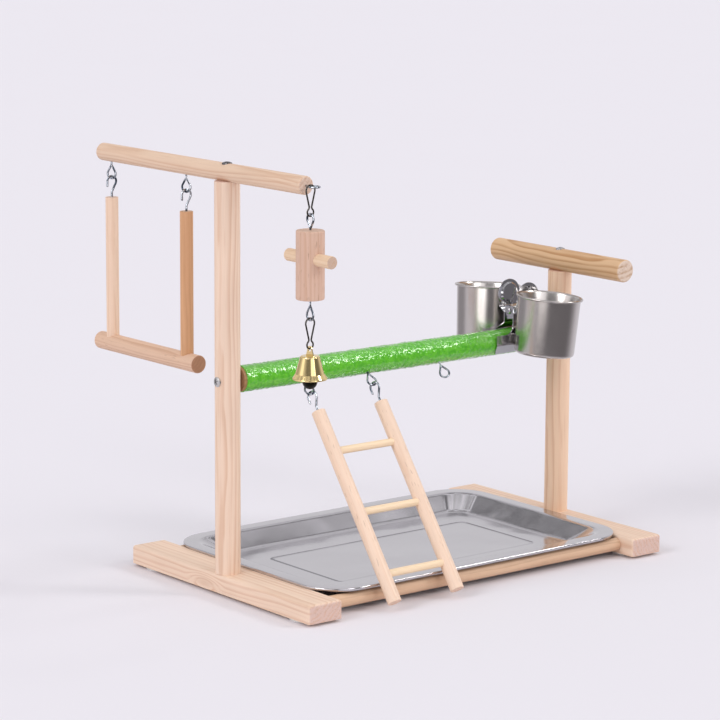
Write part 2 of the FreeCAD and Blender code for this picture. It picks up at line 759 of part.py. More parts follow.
def bell_strap():
    """The flat crown loop on top of the bell, with a round hole for the clip."""
    peak = strap_hole_z + bell_strap_hole / 2 + (bell_strap_top_width - bell_strap_hole) / 2
    half, cap = bell_strap_width / 2, bell_strap_top_width / 2
    x = toy_x - bell_strap_thickness / 2

    def at(y, z):
        return V(x, toy_y + y, z)

    cap_z = peak - cap
    edges = [Part.LineSegment(at(-half, bell_top), at(half, bell_top)).toShape(),
             Part.LineSegment(at(half, bell_top), at(cap, cap_z)).toShape(),
             Part.Arc(at(cap, cap_z), at(0, peak), at(-cap, cap_z)).toShape(),
             Part.LineSegment(at(-cap, cap_z), at(-half, bell_top)).toShape()]
    plate = Part.Face(Part.Wire(edges)).extrude(X_AXIS * bell_strap_thickness)
    return plate.cut(bore(bell_strap_hole / 2, V(toy_x - 2, toy_y, strap_hole_z), X_AXIS, 4))


def bell_staple():
    """The small wire staple inside the bell's crown that the clapper swings on."""
    r = clapper_rod / 2
    half = 2.2
    top = bell_top - bell_wall
    edges = [Part.LineSegment(V(toy_x, toy_y - half, top), V(toy_x, toy_y - half, clapper_pin_z + half)).toShape(),
             Part.Arc(V(toy_x, toy_y - half, clapper_pin_z + half), V(toy_x, toy_y, clapper_pin_z),
                      V(toy_x, toy_y + half, clapper_pin_z + half)).toShape(),
             Part.LineSegment(V(toy_x, toy_y + half, clapper_pin_z + half), V(toy_x, toy_y + half, top)).toShape()]
    return pipe(edges, r)


def clapper():
    """The clapper ball on its wire, whose eye hangs in the staple."""
    r = clapper_rod / 2
    loop_r = 2 * r + link_gap
    hub_z = clapper_pin_z + 2 * r + link_gap - loop_r
    hub = V(toy_x, toy_y, hub_z)
    loop = Part.makeTorus(loop_r, r, hub, Y_AXIS)
    stem = rod(r, V(toy_x, toy_y, clapper_z), V(toy_x, toy_y, hub_z - loop_r))
    ball = Part.makeSphere(clapper_diameter / 2, V(toy_x, toy_y, clapper_z))
    return loop.fuse([stem, ball])


# ---------------------------------------------------------------- feeder clamp and cups
clamp_pin_z = crossbar_height + clamp_pin_rise
plate_inner = grip_r + clamp_grip_clearance
plate_outer = plate_inner + clamp_sheet
spring_r = spring_mean_diameter / 2
spring_pitch = spring_wire + spring_turn_gap
spring_half = spring_turns * spring_pitch / 2
cup_r = cup_diameter / 2
cup_low_r = cup_r - cup_taper / 2
cup_lean = math.radians(cup_lean_out)
cup_y = plate_outer - cup_weld_sink + cup_low_r * math.cos(cup_lean) + cup_height * math.sin(cup_lean)
cup_rim_z = crossbar_height + cup_rim_rise
ear_outer = neck_width / 2
neck_inner = neck_gap / 2


def jaw_outline():
    """The stamped plate seen from the front: a wide jaw, a narrow neck and a round thumb disc."""
    wide, narrow = jaw_width / 2, neck_width / 2
    flare_x = wide - jaw_flare_start
    run = flare_x - narrow
    flare_r = (run ** 2 + jaw_flare_height ** 2) / (2 * jaw_flare_height)
    half_turn = math.asin(run / flare_r) / 2
    flare = [(flare_x, jaw_top_rise),
             (flare_x - flare_r * math.sin(half_turn), jaw_top_rise + flare_r * (1 - math.cos(half_turn))),
             (narrow, jaw_top_rise + jaw_flare_height)]
    low = -jaw_lip_drop - clamp_sheet
    neck_top = clamp_pin_rise + ear_radius
    edges = []
    for hand in (1, -1):
        def at(x, rise):
            return V(clamp_x + hand * x, 0, crossbar_height + rise)

        edges += [Part.LineSegment(at(0, low), at(wide, low)).toShape(),
                  Part.LineSegment(at(wide, low), at(wide, jaw_top_rise)).toShape(),
                  Part.LineSegment(at(wide, jaw_top_rise), at(flare_x, jaw_top_rise)).toShape(),
                  Part.Arc(*[at(*place) for place in flare]).toShape(),
                  Part.LineSegment(at(*flare[2]), at(narrow, neck_top)).toShape(),
                  Part.LineSegment(at(narrow, neck_top), at(0, neck_top)).toShape()]
    wire = Part.Wire(Part.__sortEdges__(edges))
    blank = Part.Face(wire).extrude(Y_AXIS * -2 * plate_outer)
    disc = Part.makeCylinder(thumb_disc_diameter / 2, 2 * plate_outer,
                             V(clamp_x, 0, crossbar_height + thumb_disc_rise), Y_AXIS * -1)
    return blank.fuse(disc)


def offset_line(points, distance):
    """The mitred parallel of an open line of (y, z) points, distance to its right."""
    normals = []
    for (y0, z0), (y1, z1) in zip(points, points[1:]):
        length = math.hypot(y1 - y0, z1 - z0)
        normals.append(((z1 - z0) / length, -(y1 - y0) / length))
    line = []
    for index, (y, z) in enumerate(points):
        before = normals[max(index - 1, 0)]
        after = normals[min(index, len(normals) - 1)]
        both = 1 + before[0] * after[0] + before[1] * after[1]
        line.append((y + distance * (before[0] + after[0]) / both,
                     z + distance * (before[1] + after[1]) / both))
    return line


def jaw_sheet():
    """The front plate's bent sheet before stamping: lip, jaw, a waist round the pin, upright disc."""
    lip = math.radians(jaw_lip_angle)
    lip_run = (jaw_lip_drop - jaw_bend_drop) * math.tan(lip)
    disc_low = thumb_disc_rise - thumb_dish_diameter / 2 - plate_bend
    rises = [(-plate_inner + lip_run, -jaw_lip_drop), (-plate_inner, -jaw_bend_drop),
             (-plate_inner, jaw_top_rise), (-neck_inner, neck_low_rise),
             (-neck_inner, clamp_pin_rise - neck_high_drop), (-plate_inner, disc_low),
             (-plate_inner, thumb_disc_rise + thumb_disc_diameter)]
    inner = [(y, crossbar_height + rise) for y, rise in rises]
    outer = offset_line(inner, -clamp_sheet)
    left = clamp_x - jaw_width / 2 - clamp_sheet
    points = [V(left, y, z) for y, z in inner + outer[::-1]]
    side = Part.Face(Part.makePolygon(points + points[:1]))
    sheet = side.extrude(X_AXIS * (jaw_width + 2 * clamp_sheet))

    def folds(solid, *picks):
        return [e for e in solid.Edges if e.Length > jaw_width
                and any(abs(e.CenterOfMass.y - y) + abs(e.CenterOfMass.z - z) < 1e-4 for y, z in picks)]

    sheet = sheet.makeFillet(plate_bend, folds(sheet, inner[1], inner[2], inner[5], outer[3], outer[4]))
    return sheet.makeFillet(plate_bend + clamp_sheet,
                            folds(sheet, outer[1], outer[2], outer[5], inner[3], inner[4]))


def ear(offset):
    """An ear folded in from the front plate, round the pin; offset is its outer face from the middle."""
    sign = 1 if offset > 0 else -1
    start_x = clamp_x + offset
    arm = Part.makeBox(clamp_sheet, neck_inner + clamp_sheet / 2, 2 * ear_radius,
                       V(min(start_x, start_x - sign * clamp_sheet), -neck_inner - clamp_sheet / 2,
                         clamp_pin_z - ear_radius))
    tab = Part.makeCylinder(ear_radius, clamp_sheet, V(start_x, 0, clamp_pin_z), X_AXIS * -sign)
    hole = Part.makeCylinder(clamp_pin_diameter / 2 + pin_gap, 3 * clamp_sheet,
                             V(start_x + sign * clamp_sheet, 0, clamp_pin_z), X_AXIS * -sign)
    return arm.fuse(tab).cut(hole)


def thumb_dish():
    """The shallow dish pressed into the thumb disc, towards the pin, and the hole it fills."""
    r, depth, sheet = thumb_dish_diameter / 2, thumb_dish_depth, clamp_sheet
    profile = [(0, depth + sheet), (r - depth, depth + sheet), (r, sheet), (r, 0),
               (r - depth * 0.6, 0), (r - depth * 1.6, depth), (0, depth)]
    dish = turned(profile)
    centre = V(clamp_x, -plate_outer, crossbar_height + thumb_disc_rise)
    dish.Placement = FreeCAD.Placement(centre, FreeCAD.Rotation(Z_AXIS, Y_AXIS))
    hole = Part.makeCylinder(r, 3 * sheet, centre - Y_AXIS * sheet, Y_AXIS)
    return dish, hole


def jaw(ear_offset):
    """The front plate: jaw, neck, thumb disc and two ears; the rear one is its mirror image."""
    dish, hole = thumb_dish()
    plate = jaw_sheet().common(jaw_outline()).cut(hole)
    return plate.fuse([dish, ear(ear_offset), ear(-ear_offset)]).removeSplitter()


def mirrored(shape):
    """The same piece on the other side of the crossbar."""
    return shape.mirror(V(0, 0, 0), Y_AXIS)


def clamp_pin():
    """The pin through the four ears, with a peened head at each end."""
    half = ear_outer + ear_gap
    r, head = clamp_pin_diameter / 2, clamp_pin_head / 2
    dome = clamp_pin_head_height
    profile = [(0, -half - dome), (head * 0.7, -half - dome), (head, -half - dome * 0.5), (head, -half),
               (r, -half), (r, half), (head, half), (head, half + dome * 0.5),
               (head * 0.7, half + dome), (0, half + dome)]
    pin = turned(profile)
    pin.Placement = FreeCAD.Placement(V(clamp_x, 0, clamp_pin_z), FreeCAD.Rotation(Z_AXIS, X_AXIS))
    return pin


def arc_from_tangent(start, tangent, end, backwards=False):
    """The arc between start, where it has the given tangent, and end; backwards runs it end to start."""
    chord = end - start
    inward = tangent.cross(chord).cross(tangent).normalize()
    hub = start + inward * (chord.Length ** 2 / (2 * chord.dot(inward)))
    middle = hub + ((start + end) * 0.5 - hub).normalize() * (start - hub).Length
    if backwards:
        return Part.Arc(end, middle, start).toShape()
    return Part.Arc(start, middle, end).toShape()


def coil_edges(radius, pitch, turns, centre_x, centre_z):
    """A helix about X as tangent pairs of arcs, two for each quarter turn."""
    def point(angle):
        return V(centre_x + pitch * angle / (2 * math.pi), -radius * math.sin(angle),
                 centre_z + radius * math.cos(angle))

    def tangent(angle):
        return V(pitch / (2 * math.pi), -radius * math.cos(angle), -radius * math.sin(angle)).normalize()

    edges = []
    for quarter in range(4 * turns):
        first, last = quarter * math.pi / 2, (quarter + 1) * math.pi / 2
        start, end, leave, arrive = point(first), point(last), tangent(first), tangent(last)
        chord = end - start
        both = leave + arrive
        spread = 2 * (1 - leave.dot(arrive))
        reach = (-chord.dot(both) + math.sqrt(chord.dot(both) ** 2 + spread * chord.dot(chord))) / spread
        joint = (start + leave * reach + end - arrive * reach) * 0.5
        edges.append(arc_from_tangent(start, leave, joint))
        edges.append(arc_from_tangent(end, arrive * -1, joint, True))
    return edges


def clamp_spring():
    """The torsion spring's turns round the pin."""
    edges = coil_edges(spring_r, spring_pitch, spring_turns, clamp_x - spring_half, clamp_pin_z)
    print("clamp_spring least gap between turns", round(coil_gap(), 3))
    return pipe(edges, spring_wire / 2)


def coil_gap():
    """The least gap between neighbouring turns of the spring, measured on points."""
    steps = 48
    points = []
    for index in range(steps * spring_turns + 1):
        angle = 2 * math.pi * index / steps
        points.append(V(spring_pitch * index / steps, spring_r * math.sin(angle), spring_r * math.cos(angle)))
    gaps = [a.distanceToPoint(b) for i, a in enumerate(points) for b in points[i + steps // 2:]]
    return min(gaps) - spring_wire


def spring_arm():
    """The front end turn of the spring with its arm, which bears on the front thumb disc."""
    x = clamp_x - spring_half - spring_pitch
    reach_y = plate_inner - thumb_dish_depth - spring_wire / 2 - glue_gap
    slope = math.atan2(spring_arm_rise, -reach_y)
    leave = slope + math.acos(spring_r / math.hypot(reach_y, spring_arm_rise))
    hub = V(x, 0, clamp_pin_z)
    touch = hub + V(0, math.cos(leave), math.sin(leave)) * spring_r
    end = hub + V(0, -reach_y, spring_arm_rise)
    turn = ring_arc(spring_wire / 2, hub, X_AXIS, touch, 450 - math.degrees(leave))
    return turn.fuse([rod(spring_wire / 2, touch, end), Part.makeSphere(spring_wire / 2, end)])


def cup():
    """The front cup: a drawn beaker with a rolled rim, flattened where it meets its plate."""
    top, bottom = cup_r, cup_low_r
    wall, corner, height = cup_wall, cup_corner, cup_height
    bead = cup_rim_thickness / 2
    rim_hub = cup_rim_diameter / 2 - bead
    z = height - bead
    shell = turned([(0, 0), (bottom - corner, 0, 0.293 * corner), (bottom, corner),
                    (top, z), (top - wall, z), (bottom - wall, corner, -0.293 * (corner - wall)),
                    (bottom - corner, wall), (0, wall)])
    rim = Part.makeTorus(rim_hub, bead, V(0, 0, z), Z_AXIS)
    web = turned([(top - wall, z), (top - wall, z + 0.5), (rim_hub, z + bead), (rim_hub, z + 0.2),
                  (top, z - 0.4)])
    vessel = shell.fuse([rim, web])
    vessel.translate(V(0, 0, -height))
    vessel.rotate(V(0, 0, 0), X_AXIS, cup_lean_out)
    vessel.rotate(V(0, 0, 0), Y_AXIS, cup_lean_side)
    vessel.translate(V(clamp_x, -cup_y, cup_rim_z))
    flat = Part.makeBox(cup_rim_diameter, cup_rim_diameter, cup_height * 2,
                        V(clamp_x - cup_rim_diameter / 2, -plate_outer, cup_rim_z - cup_height * 1.5))
    return vessel.cut(flat)


# ---------------------------------------------------------------- write every sub-part
def own_frame():
    """The move that puts the origin on the table, under the middle of the whole stand."""
    left = toy_x - block_diameter / 2
    right = post_x + post_r - screw_spot_depth + screw_head_height
    front = toy_y - cross_dowel_length / 2
    rear = swing_rear_eye_y + swing_bar_overhang_rear
    return V(-(left + right) / 2, -(front + rear) / 2, 0)


def main():
    """Build and write all the sub-parts."""
    os.makedirs("parts", exist_ok=True)
    export("left_foot_beam", foot_beam(-1))
    export("right_foot_beam", foot_beam(1))
    export("front_rail", floor_rail(-rail_y))
    export("rear_rail", floor_rail(rail_y))
    export("foot_pads", *foot_pads())
    export("base_screws", base_screw(-1), base_screw(1))
    export("left_post", post(-1, left_post_top, upper_perch_r, upper_perch_z))
    export("right_post", post(1, right_post_top, low_perch_r, low_perch_z))
    export("upper_perch", perch(-1, upper_perch_r, upper_perch_z, upper_perch_front, upper_perch_rear,
                                swing_eye_places() + [toy_eye_place()]))
    export("low_perch", perch(1, low_perch_r, low_perch_z, low_perch_reach, low_perch_reach))
    export("upper_perch_screw", perch_screw(-1, upper_perch_r, upper_perch_z))
    export("low_perch_screw", perch_screw(1, low_perch_r, low_perch_z))
    export("crossbar", crossbar())
    export("crossbar_grip", crossbar_grip())
    export("crossbar_screws", crossbar_screw(-1), crossbar_screw(1))

    swing_side = FreeCAD.Rotation(Z_AXIS, swing_eye_turn).multVec(Y_AXIS)
    export("swing_eyes", *[eye_screw(root, outward, swing_side) for root, outward in swing_eye_places()])
    export("swing_hooks", swing_hook(swing_front_eye_y), swing_hook(swing_rear_eye_y))
    export("swing_front_upright", swing_upright(swing_front_eye_y))
    export("swing_rear_upright", swing_upright(swing_rear_eye_y))
    export("swing_bar", swing_bar())

    left_x, right_x = ladder_rail_xs()
    eye_xs = crossbar_eye_xs()
    export("ladder_eyes", *[crossbar_eye(x, ladder_eye_turn, ladder_eye_shank) for x in eye_xs[:2]])
    export("spare_eye", crossbar_eye(eye_xs[2], spare_eye_turn, spare_eye_shank))
    export("ladder_hooks", ladder_hook(left_x), ladder_hook(right_x))
    export("ladder_left_rail", ladder_rail(left_x, 1))
    export("ladder_right_rail", ladder_rail(right_x, -1))
    export("ladder_rungs", *[ladder_rung(distance) for distance in rung_distances()])
    export("tray", tray())

    export("toy_eye", eye_screw(toy_root, toy_outward, X_AXIS))
    export("upper_clip", spring_clip(V(toy_x, toy_y, upper_clip_top), X_AXIS))
    export("block_top_eye", eye_screw(V(toy_x, toy_y, block_top), Z_AXIS, Y_AXIS, block_top_shank))
    export("toy_block", toy_block())
    export("cross_dowel", cross_dowel())
    export("block_bottom_eye", eye_screw(V(toy_x, toy_y, block_bottom), Z_AXIS * -1, Y_AXIS,
                                         block_bottom_shank))
    export("lower_clip", spring_clip(V(toy_x, toy_y, lower_clip_top), X_AXIS))
    export("bell_strap", bell_strap())
    export("bell_shell", bell_shell())
    export("bell_staple", bell_staple())
    export("clapper", clapper())

    export("clamp_pin", clamp_pin())
    export("clamp_spring", clamp_spring())
    export("front_jaw", jaw(ear_outer))
    export("rear_jaw", mirrored(jaw(ear_outer - clamp_sheet - ear_gap)))
    export("front_spring_arm", spring_arm())
    rear_arm = mirrored(spring_arm())
    rear_arm.translate(X_AXIS * 2 * (spring_half + spring_pitch))
    export("rear_spring_arm", rear_arm)
    export("front_cup", cup())
    export("rear_cup", mirrored(cup()))
    print("origin is at", own_frame() * -1, "from the middle of the feet; the ladder leans",
          round(math.degrees(ladder_lean), 2))


main()
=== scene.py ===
"""Looks of a table-top parrot play stand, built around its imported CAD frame.

Sizes are in metres. X runs along the crossbar, -Y is the front, Z is up from the table.
"""

import logging
import math
from collections.abc import Sequence
from dataclasses import dataclass, replace
from enum import Enum

import bmesh
import bpy
from mathutils import Matrix, Vector


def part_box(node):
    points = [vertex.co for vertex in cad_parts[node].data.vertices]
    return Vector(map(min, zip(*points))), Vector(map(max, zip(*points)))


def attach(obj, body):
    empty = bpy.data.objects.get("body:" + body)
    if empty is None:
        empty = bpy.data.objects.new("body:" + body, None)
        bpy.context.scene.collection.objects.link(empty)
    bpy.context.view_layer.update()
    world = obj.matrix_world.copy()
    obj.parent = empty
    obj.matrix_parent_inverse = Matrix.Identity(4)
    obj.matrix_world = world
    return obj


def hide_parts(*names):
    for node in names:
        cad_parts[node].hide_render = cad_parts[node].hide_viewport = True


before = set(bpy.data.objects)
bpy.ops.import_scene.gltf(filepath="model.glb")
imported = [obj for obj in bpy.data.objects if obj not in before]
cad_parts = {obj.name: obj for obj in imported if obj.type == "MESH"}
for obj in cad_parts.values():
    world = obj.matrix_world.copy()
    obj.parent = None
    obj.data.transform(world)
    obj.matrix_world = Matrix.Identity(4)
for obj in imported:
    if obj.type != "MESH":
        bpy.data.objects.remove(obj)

LOG = logging.getLogger("play_stand")
UP = Vector((0.0, 0.0, 1.0))
WHITE = (1.0, 1.0, 1.0)
POLE_RADIUS = 1e-7
MOST_OF_HALF = 0.49
Colour = tuple[float, float, float]
Point = tuple[float, float]
Feed = bpy.types.NodeSocket | float | int | str | Sequence[float]
NODES: dict[str, bpy.types.Object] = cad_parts


class Grain(Enum):
    """The direction in which a piece of wood was cut."""

    ALONG_X = (1.0, 0.0, 0.0)
    ALONG_Y = (0.0, 1.0, 0.0)
    UPRIGHT = (0.0, 0.0, 1.0)
    LEANING = (0.0, 0.5847, 0.8113)

    @property
    def vector(self) -> Vector:
        """The direction as a unit vector."""
        return Vector(self.value).normalized()


class Brush(Enum):
    """How a metal surface was worked."""

    NONE = "none"
    ROUND = "round"


# ------------------------------------------------------------------ node trees
class Graph:
    """A short way to add and link the nodes of one tree."""

    def __init__(self, tree: bpy.types.NodeTree) -> None:
        """Keep the tree that the nodes go into."""
        self.tree = tree

    def add(self, kind: str, feeds: dict[str | int, Feed] | None = None,
            **settings: object) -> bpy.types.Node:
        """Add one node.

        Args:
            kind: The node's type.
            feeds: Input name or number to a value or to the socket that feeds it.
            settings: The node's own properties.

        Returns:
            The new node.
        """
        node = self.tree.nodes.new(kind)
        for key, value in settings.items():
            setattr(node, key, value)
        for key, value in (feeds or {}).items():
            socket = node.inputs[key]
            if isinstance(value, bpy.types.NodeSocket):
                self.tree.links.new(value, socket)
            else:
                socket.default_value = value
        return node

    def math(self, operation: str, a: Feed, b: Feed = 0.0, c: Feed = 0.0) -> bpy.types.NodeSocket:
        """One Math node's result."""
        return self.add("ShaderNodeMath", {0: a, 1: b, 2: c}, operation=operation).outputs[0]

    def vector(self, operation: str, a: Feed, b: Feed = (0.0, 0.0, 0.0)) -> bpy.types.Node:
        """One Vector Math node."""
        return self.add("ShaderNodeVectorMath", {0: a, 1: b}, operation=operation)

    def stretch(self, vector: Feed, factors: Sequence[float]) -> bpy.types.NodeSocket:
        """A vector with each of its parts scaled."""
        return self.vector("MULTIPLY", vector, factors).outputs[0]

    def drawn_out(self, vector: Feed, share: float) -> bpy.types.NodeSocket:
        """A vector whose Z counts for less, so that a pattern runs long along it."""
        return self.stretch(vector, (1.0, 1.0, share))

    def noise(self, vector: Feed, scale: float, detail: float = 2.0, rough: float = 0.5,
              seed: Feed = 0.0) -> bpy.types.Node:
        """A four-dimensional noise node, whose seed moves it along the fourth axis."""
        feeds = {"Vector": vector, "W": seed, "Scale": scale, "Detail": detail, "Roughness": rough}
        return self.add("ShaderNodeTexNoise", feeds, noise_dimensions="4D")

    def step(self, value: Feed, low: float, high: float, start: Feed = 0.0,
             end: Feed = 1.0) -> bpy.types.NodeSocket:
        """A soft step from start at low to end at high."""
        feeds = {"Value": value, "From Min": low, "From Max": high, "To Min": start, "To Max": end}
        return self.add("ShaderNodeMapRange", feeds, interpolation_type="SMOOTHSTEP").outputs["Result"]


class ShaderGraph(Graph):
    """The node tree of one material."""

    def __init__(self, name: str) -> None:
        """Start an empty material.

        Args:
            name: The material's name.
        """
        self.material = bpy.data.materials.new(name)
        self.material.use_nodes = True
        super().__init__(self.material.node_tree)
        self.tree.nodes.clear()

    def local(self, centre: Vector, axis: Vector) -> bpy.types.NodeSocket:
        """Object coordinates with centre as origin and axis as Z.

        Args:
            centre: The piece's middle, in the row frame.
            axis: The direction that becomes Z.

        Returns:
            The coordinates.
        """
        coords = self.add("ShaderNodeTexCoord").outputs["Object"]
        turn = axis.to_track_quat("Z", "Y").to_euler()
        feeds = {"Vector": coords, "Location": tuple(centre), "Rotation": tuple(turn)}
        return self.add("ShaderNodeMapping", feeds, vector_type="TEXTURE").outputs["Vector"]

    def mix(self, factor: Feed, a: Feed, b: Feed, kind: str = "MIX") -> bpy.types.NodeSocket:
        """Two colours mixed."""
        node = self.add("ShaderNodeMix", {0: factor, 6: self.rgba(a), 7: self.rgba(b)},
                        data_type="RGBA", blend_type=kind)
        return node.outputs[2]

    def shade(self, colour: Feed, factor: Feed) -> bpy.types.NodeSocket:
        """A colour multiplied by a number."""
        grey = self.add("ShaderNodeCombineColor", {0: factor, 1: factor, 2: factor}).outputs[0]
        return self.mix(1.0, colour, grey, "MULTIPLY")

    def swing(self, value: Feed, amount: float, middle: float = 1.0) -> bpy.types.NodeSocket:
        """A noise value turned into a number that swings about middle by amount."""
        return self.math("MULTIPLY_ADD", value, 2.0 * amount, middle - amount)

    def bump(self, height: Feed, strength: float, distance: float,
             under: Feed | None = None) -> bpy.types.NodeSocket:
        """A normal bumped by a height."""
        feeds: dict[str | int, Feed] = {"Height": height, "Strength": strength, "Distance": distance}
        if under is not None:
            feeds["Normal"] = under
        return self.add("ShaderNodeBump", feeds).outputs["Normal"]

    def facing(self, axis: Vector) -> bpy.types.NodeSocket:
        """How squarely the surface faces along axis, from 0 to 1."""
        normal = self.add("ShaderNodeTexCoord").outputs["Normal"]
        dot = self.vector("DOT_PRODUCT", normal, tuple(axis)).outputs["Value"]
        return self.math("ABSOLUTE", dot)

    def finish(self, colour: Feed, roughness: Feed, normal: Feed | None = None,
               **constants: float) -> bpy.types.Material:
        """Close the tree with its shader.

        Args:
            colour: The base colour.
            roughness: The roughness.
            normal: The bumped normal, if any.
            constants: Principled sockets by name, with underscores for spaces.

        Returns:
            The finished material.
        """
        feeds: dict[str | int, Feed] = {"Base Color": self.rgba(colour), "Roughness": roughness}
        feeds.update({key.replace("_", " "): value for key, value in constants.items()})
        if normal is not None:
            feeds["Normal"] = normal
        shader = self.add("ShaderNodeBsdfPrincipled", feeds)
        self.add("ShaderNodeOutputMaterial", {"Surface": shader.outputs[0]})
        return self.material

    @staticmethod
    def rgba(colour: Feed) -> Feed:
        """A plain colour with its alpha added; a socket stays as it is."""
        if isinstance(colour, bpy.types.NodeSocket) or len(colour) == 4:
            return colour
        return (*colour, 1.0)


# ------------------------------------------------------------------ finishes
@dataclass(frozen=True)
class Knot:
    """A knot: its place in the wood's own coordinates, its size, the rings it pushes aside and its depth."""

    place: tuple[float, float, float]
    size: tuple[float, float, float]
    rings: float = 3.0
    depth: float = 0.8


@dataclass(frozen=True)
class Timber:
    """Sanded wood with growth rings, fibres, flecks and end grain."""

    name: str
    early: Colour
    late: Colour
    end: Colour
    ring_gap: float = 0.0034
    ring_depth: float = 0.6
    fibre_depth: float = 0.10
    drift: float = 0.07
    warp: float = 0.011
    unevenness: float = 1.0
    fleck: float = 0.0
    roughness: float = 0.52
    warp_scale: float = 16.0
    patch_scale: float = 45.0
    wobble_scale: float = 60.0
    drift_scale: float = 130.0
    strength_scale: float = 190.0
    streak_scale: float = 420.0
    streak_depth: float = 0.4
    pore_scale: float = 620.0
    fleck_scale: float = 900.0
    fibre_scale: float = 1500.0
    late_rise: Point = (0.30, 0.88)
    late_fall: Point = (0.90, 1.0)
    end_facing: Point = (0.55, 0.97)
    relief: float = 0.00012
    shine: float = 0.36

    def darker(self, share: float) -> Colour:
        """The late wood's colour, darkened to a share of itself."""
        red, green, blue = self.late
        return (share * red, share * green, share * blue)

    def rings(self, g: ShaderGraph, place: Feed, pith: Point, seed: float, knots: Sequence[Knot]
              ) -> tuple[bpy.types.NodeSocket, list[bpy.types.NodeSocket]]:
        """The late wood of the growth rings, pushed aside by the knots.

        Args:
            g: The material's graph.
            place: The piece's own coordinates, with the grain along Z.
            pith: Where the tree's middle lies beside the piece's own.
            seed: The piece's number.
            knots: The piece's knots.

        Returns:
            How far each point lies in late wood, and in the core of each knot.
        """
        wander = g.noise(g.drawn_out(place, 0.35), self.warp_scale, seed=seed).outputs["Color"]
        wander = g.vector("SUBTRACT", wander, (0.5, 0.5, 0.5)).outputs[0]
        bent = g.vector("ADD", place, g.stretch(wander, (self.warp, self.warp, 0.0))).outputs[0]
        across = g.vector("SUBTRACT", g.drawn_out(bent, 0.0), (*pith, 0.0)).outputs[0]
        ring = g.math("DIVIDE", g.vector("LENGTH", across).outputs["Value"], self.ring_gap)
        wobble = g.noise(g.drawn_out(place, 0.15), self.wobble_scale, seed=seed)
        ring = g.math("ADD", ring, wobble.outputs["Fac"])
        drifting = g.noise(g.drawn_out(bent, 0.04), self.drift_scale, 1.0, 0.5, seed + 9.0)
        ring = g.math("MULTIPLY_ADD", drifting.outputs["Fac"], self.unevenness, ring)
        cores = []
        for knot in knots:
            away = g.vector("SUBTRACT", bent, knot.place).outputs[0]
            away = g.vector("LENGTH", g.vector("DIVIDE", away, knot.size).outputs[0])
            swell = g.math("SUBTRACT", 1.0, g.step(away.outputs["Value"], 0.0, 1.0))
            ring = g.math("MULTIPLY_ADD", swell, knot.rings, ring)
            cores.append(g.math("MULTIPLY", g.step(swell, 0.35, 1.0), knot.depth))
        saw = g.math("FRACT", ring)
        late = g.math("SUBTRACT", g.step(saw, *self.late_rise), g.step(saw, *self.late_fall))
        strength = g.noise(g.drawn_out(bent, 0.02), self.strength_scale, 1.0, 0.5, seed + 3.0)
        return g.math("MULTIPLY", late, g.step(strength.outputs["Fac"], 0.22, 0.66)), cores

    def material(self, piece: str, grain: Vector, centre: Vector, pith: Point, seed: float,
                 knots: Sequence[Knot] = ()) -> bpy.types.Material:
        """The material of one piece cut from this wood.

        Args:
            piece: The piece's name.
            grain: The direction of the fibres.
            centre: The piece's middle.
            pith: Where the tree's middle lies beside the piece's own.
            seed: A number that makes this piece differ from its neighbours.
            knots: The piece's knots.

        Returns:
            The material.
        """
        g = ShaderGraph(f"{self.name}.{piece}")
        place = g.local(centre, grain)
        late, cores = self.rings(g, place, pith, seed, knots)
        fibre = g.noise(g.drawn_out(place, 0.018), self.fibre_scale, 3.0, 0.6, seed).outputs["Fac"]
        streak = g.noise(g.drawn_out(place, 0.03), self.streak_scale, 2.0, 0.6, seed + 5.0).outputs["Fac"]
        broad = g.noise(g.drawn_out(place, 0.2), self.patch_scale, 3.0, 0.55, seed + 7.0).outputs["Fac"]
        pores = g.noise(place, self.pore_scale, 3.0, 0.75, seed).outputs["Fac"]

        colour = g.mix(g.math("MULTIPLY", late, self.ring_depth), self.early, self.late)
        colour = g.mix(g.math("MULTIPLY", g.step(streak, 0.58, 0.75), self.streak_depth), colour, self.late)
        colour = g.shade(colour, g.swing(fibre, self.fibre_depth))
        colour = g.shade(colour, g.swing(broad, self.drift))
        if self.fleck > 0:
            dash = g.noise(g.drawn_out(place, 0.13), self.fleck_scale, 0.0, 0.5, seed + 1.0).outputs["Fac"]
            fleck = g.math("MULTIPLY", g.step(dash, 0.70, 0.76), self.fleck)
            colour = g.mix(fleck, colour, self.darker(0.62))
        for core in cores:
            colour = g.mix(core, colour, self.darker(0.8))

        cut = g.mix(g.math("MULTIPLY", late, 0.6), self.end, self.late)
        cut = g.mix(g.math("MULTIPLY", g.step(pores, 0.50, 0.62), 0.5), cut, self.darker(0.55))
        cut = g.shade(cut, g.swing(pores, 0.3, 1.06))
        squarely = g.step(g.facing(grain), *self.end_facing)
        colour = g.mix(g.math("MULTIPLY", squarely, 0.9), colour, cut)

        height = g.math("MULTIPLY_ADD", late, 0.5, fibre)
        height = g.math("MULTIPLY_ADD", g.math("MULTIPLY", squarely, pores), 1.5, height)
        return g.finish(colour, g.swing(fibre, 0.08, self.roughness), g.bump(height, 0.35, self.relief),
                        Specular_IOR_Level=self.shine)


@dataclass(frozen=True)
class Cut:
    """How one piece was cut from its wood."""

    timber: Timber
    grain: Grain
    pith: Point
    seed: float
    label: str = ""
    knots: tuple[Knot, ...] = ()

    def dress(self, node: str) -> None:
        """Give the piece's CAD node its material."""
        material = self.timber.material(self.label or node, self.grain.vector, middle(node), self.pith,
                                        self.seed, self.knots)
        dress(node, material)


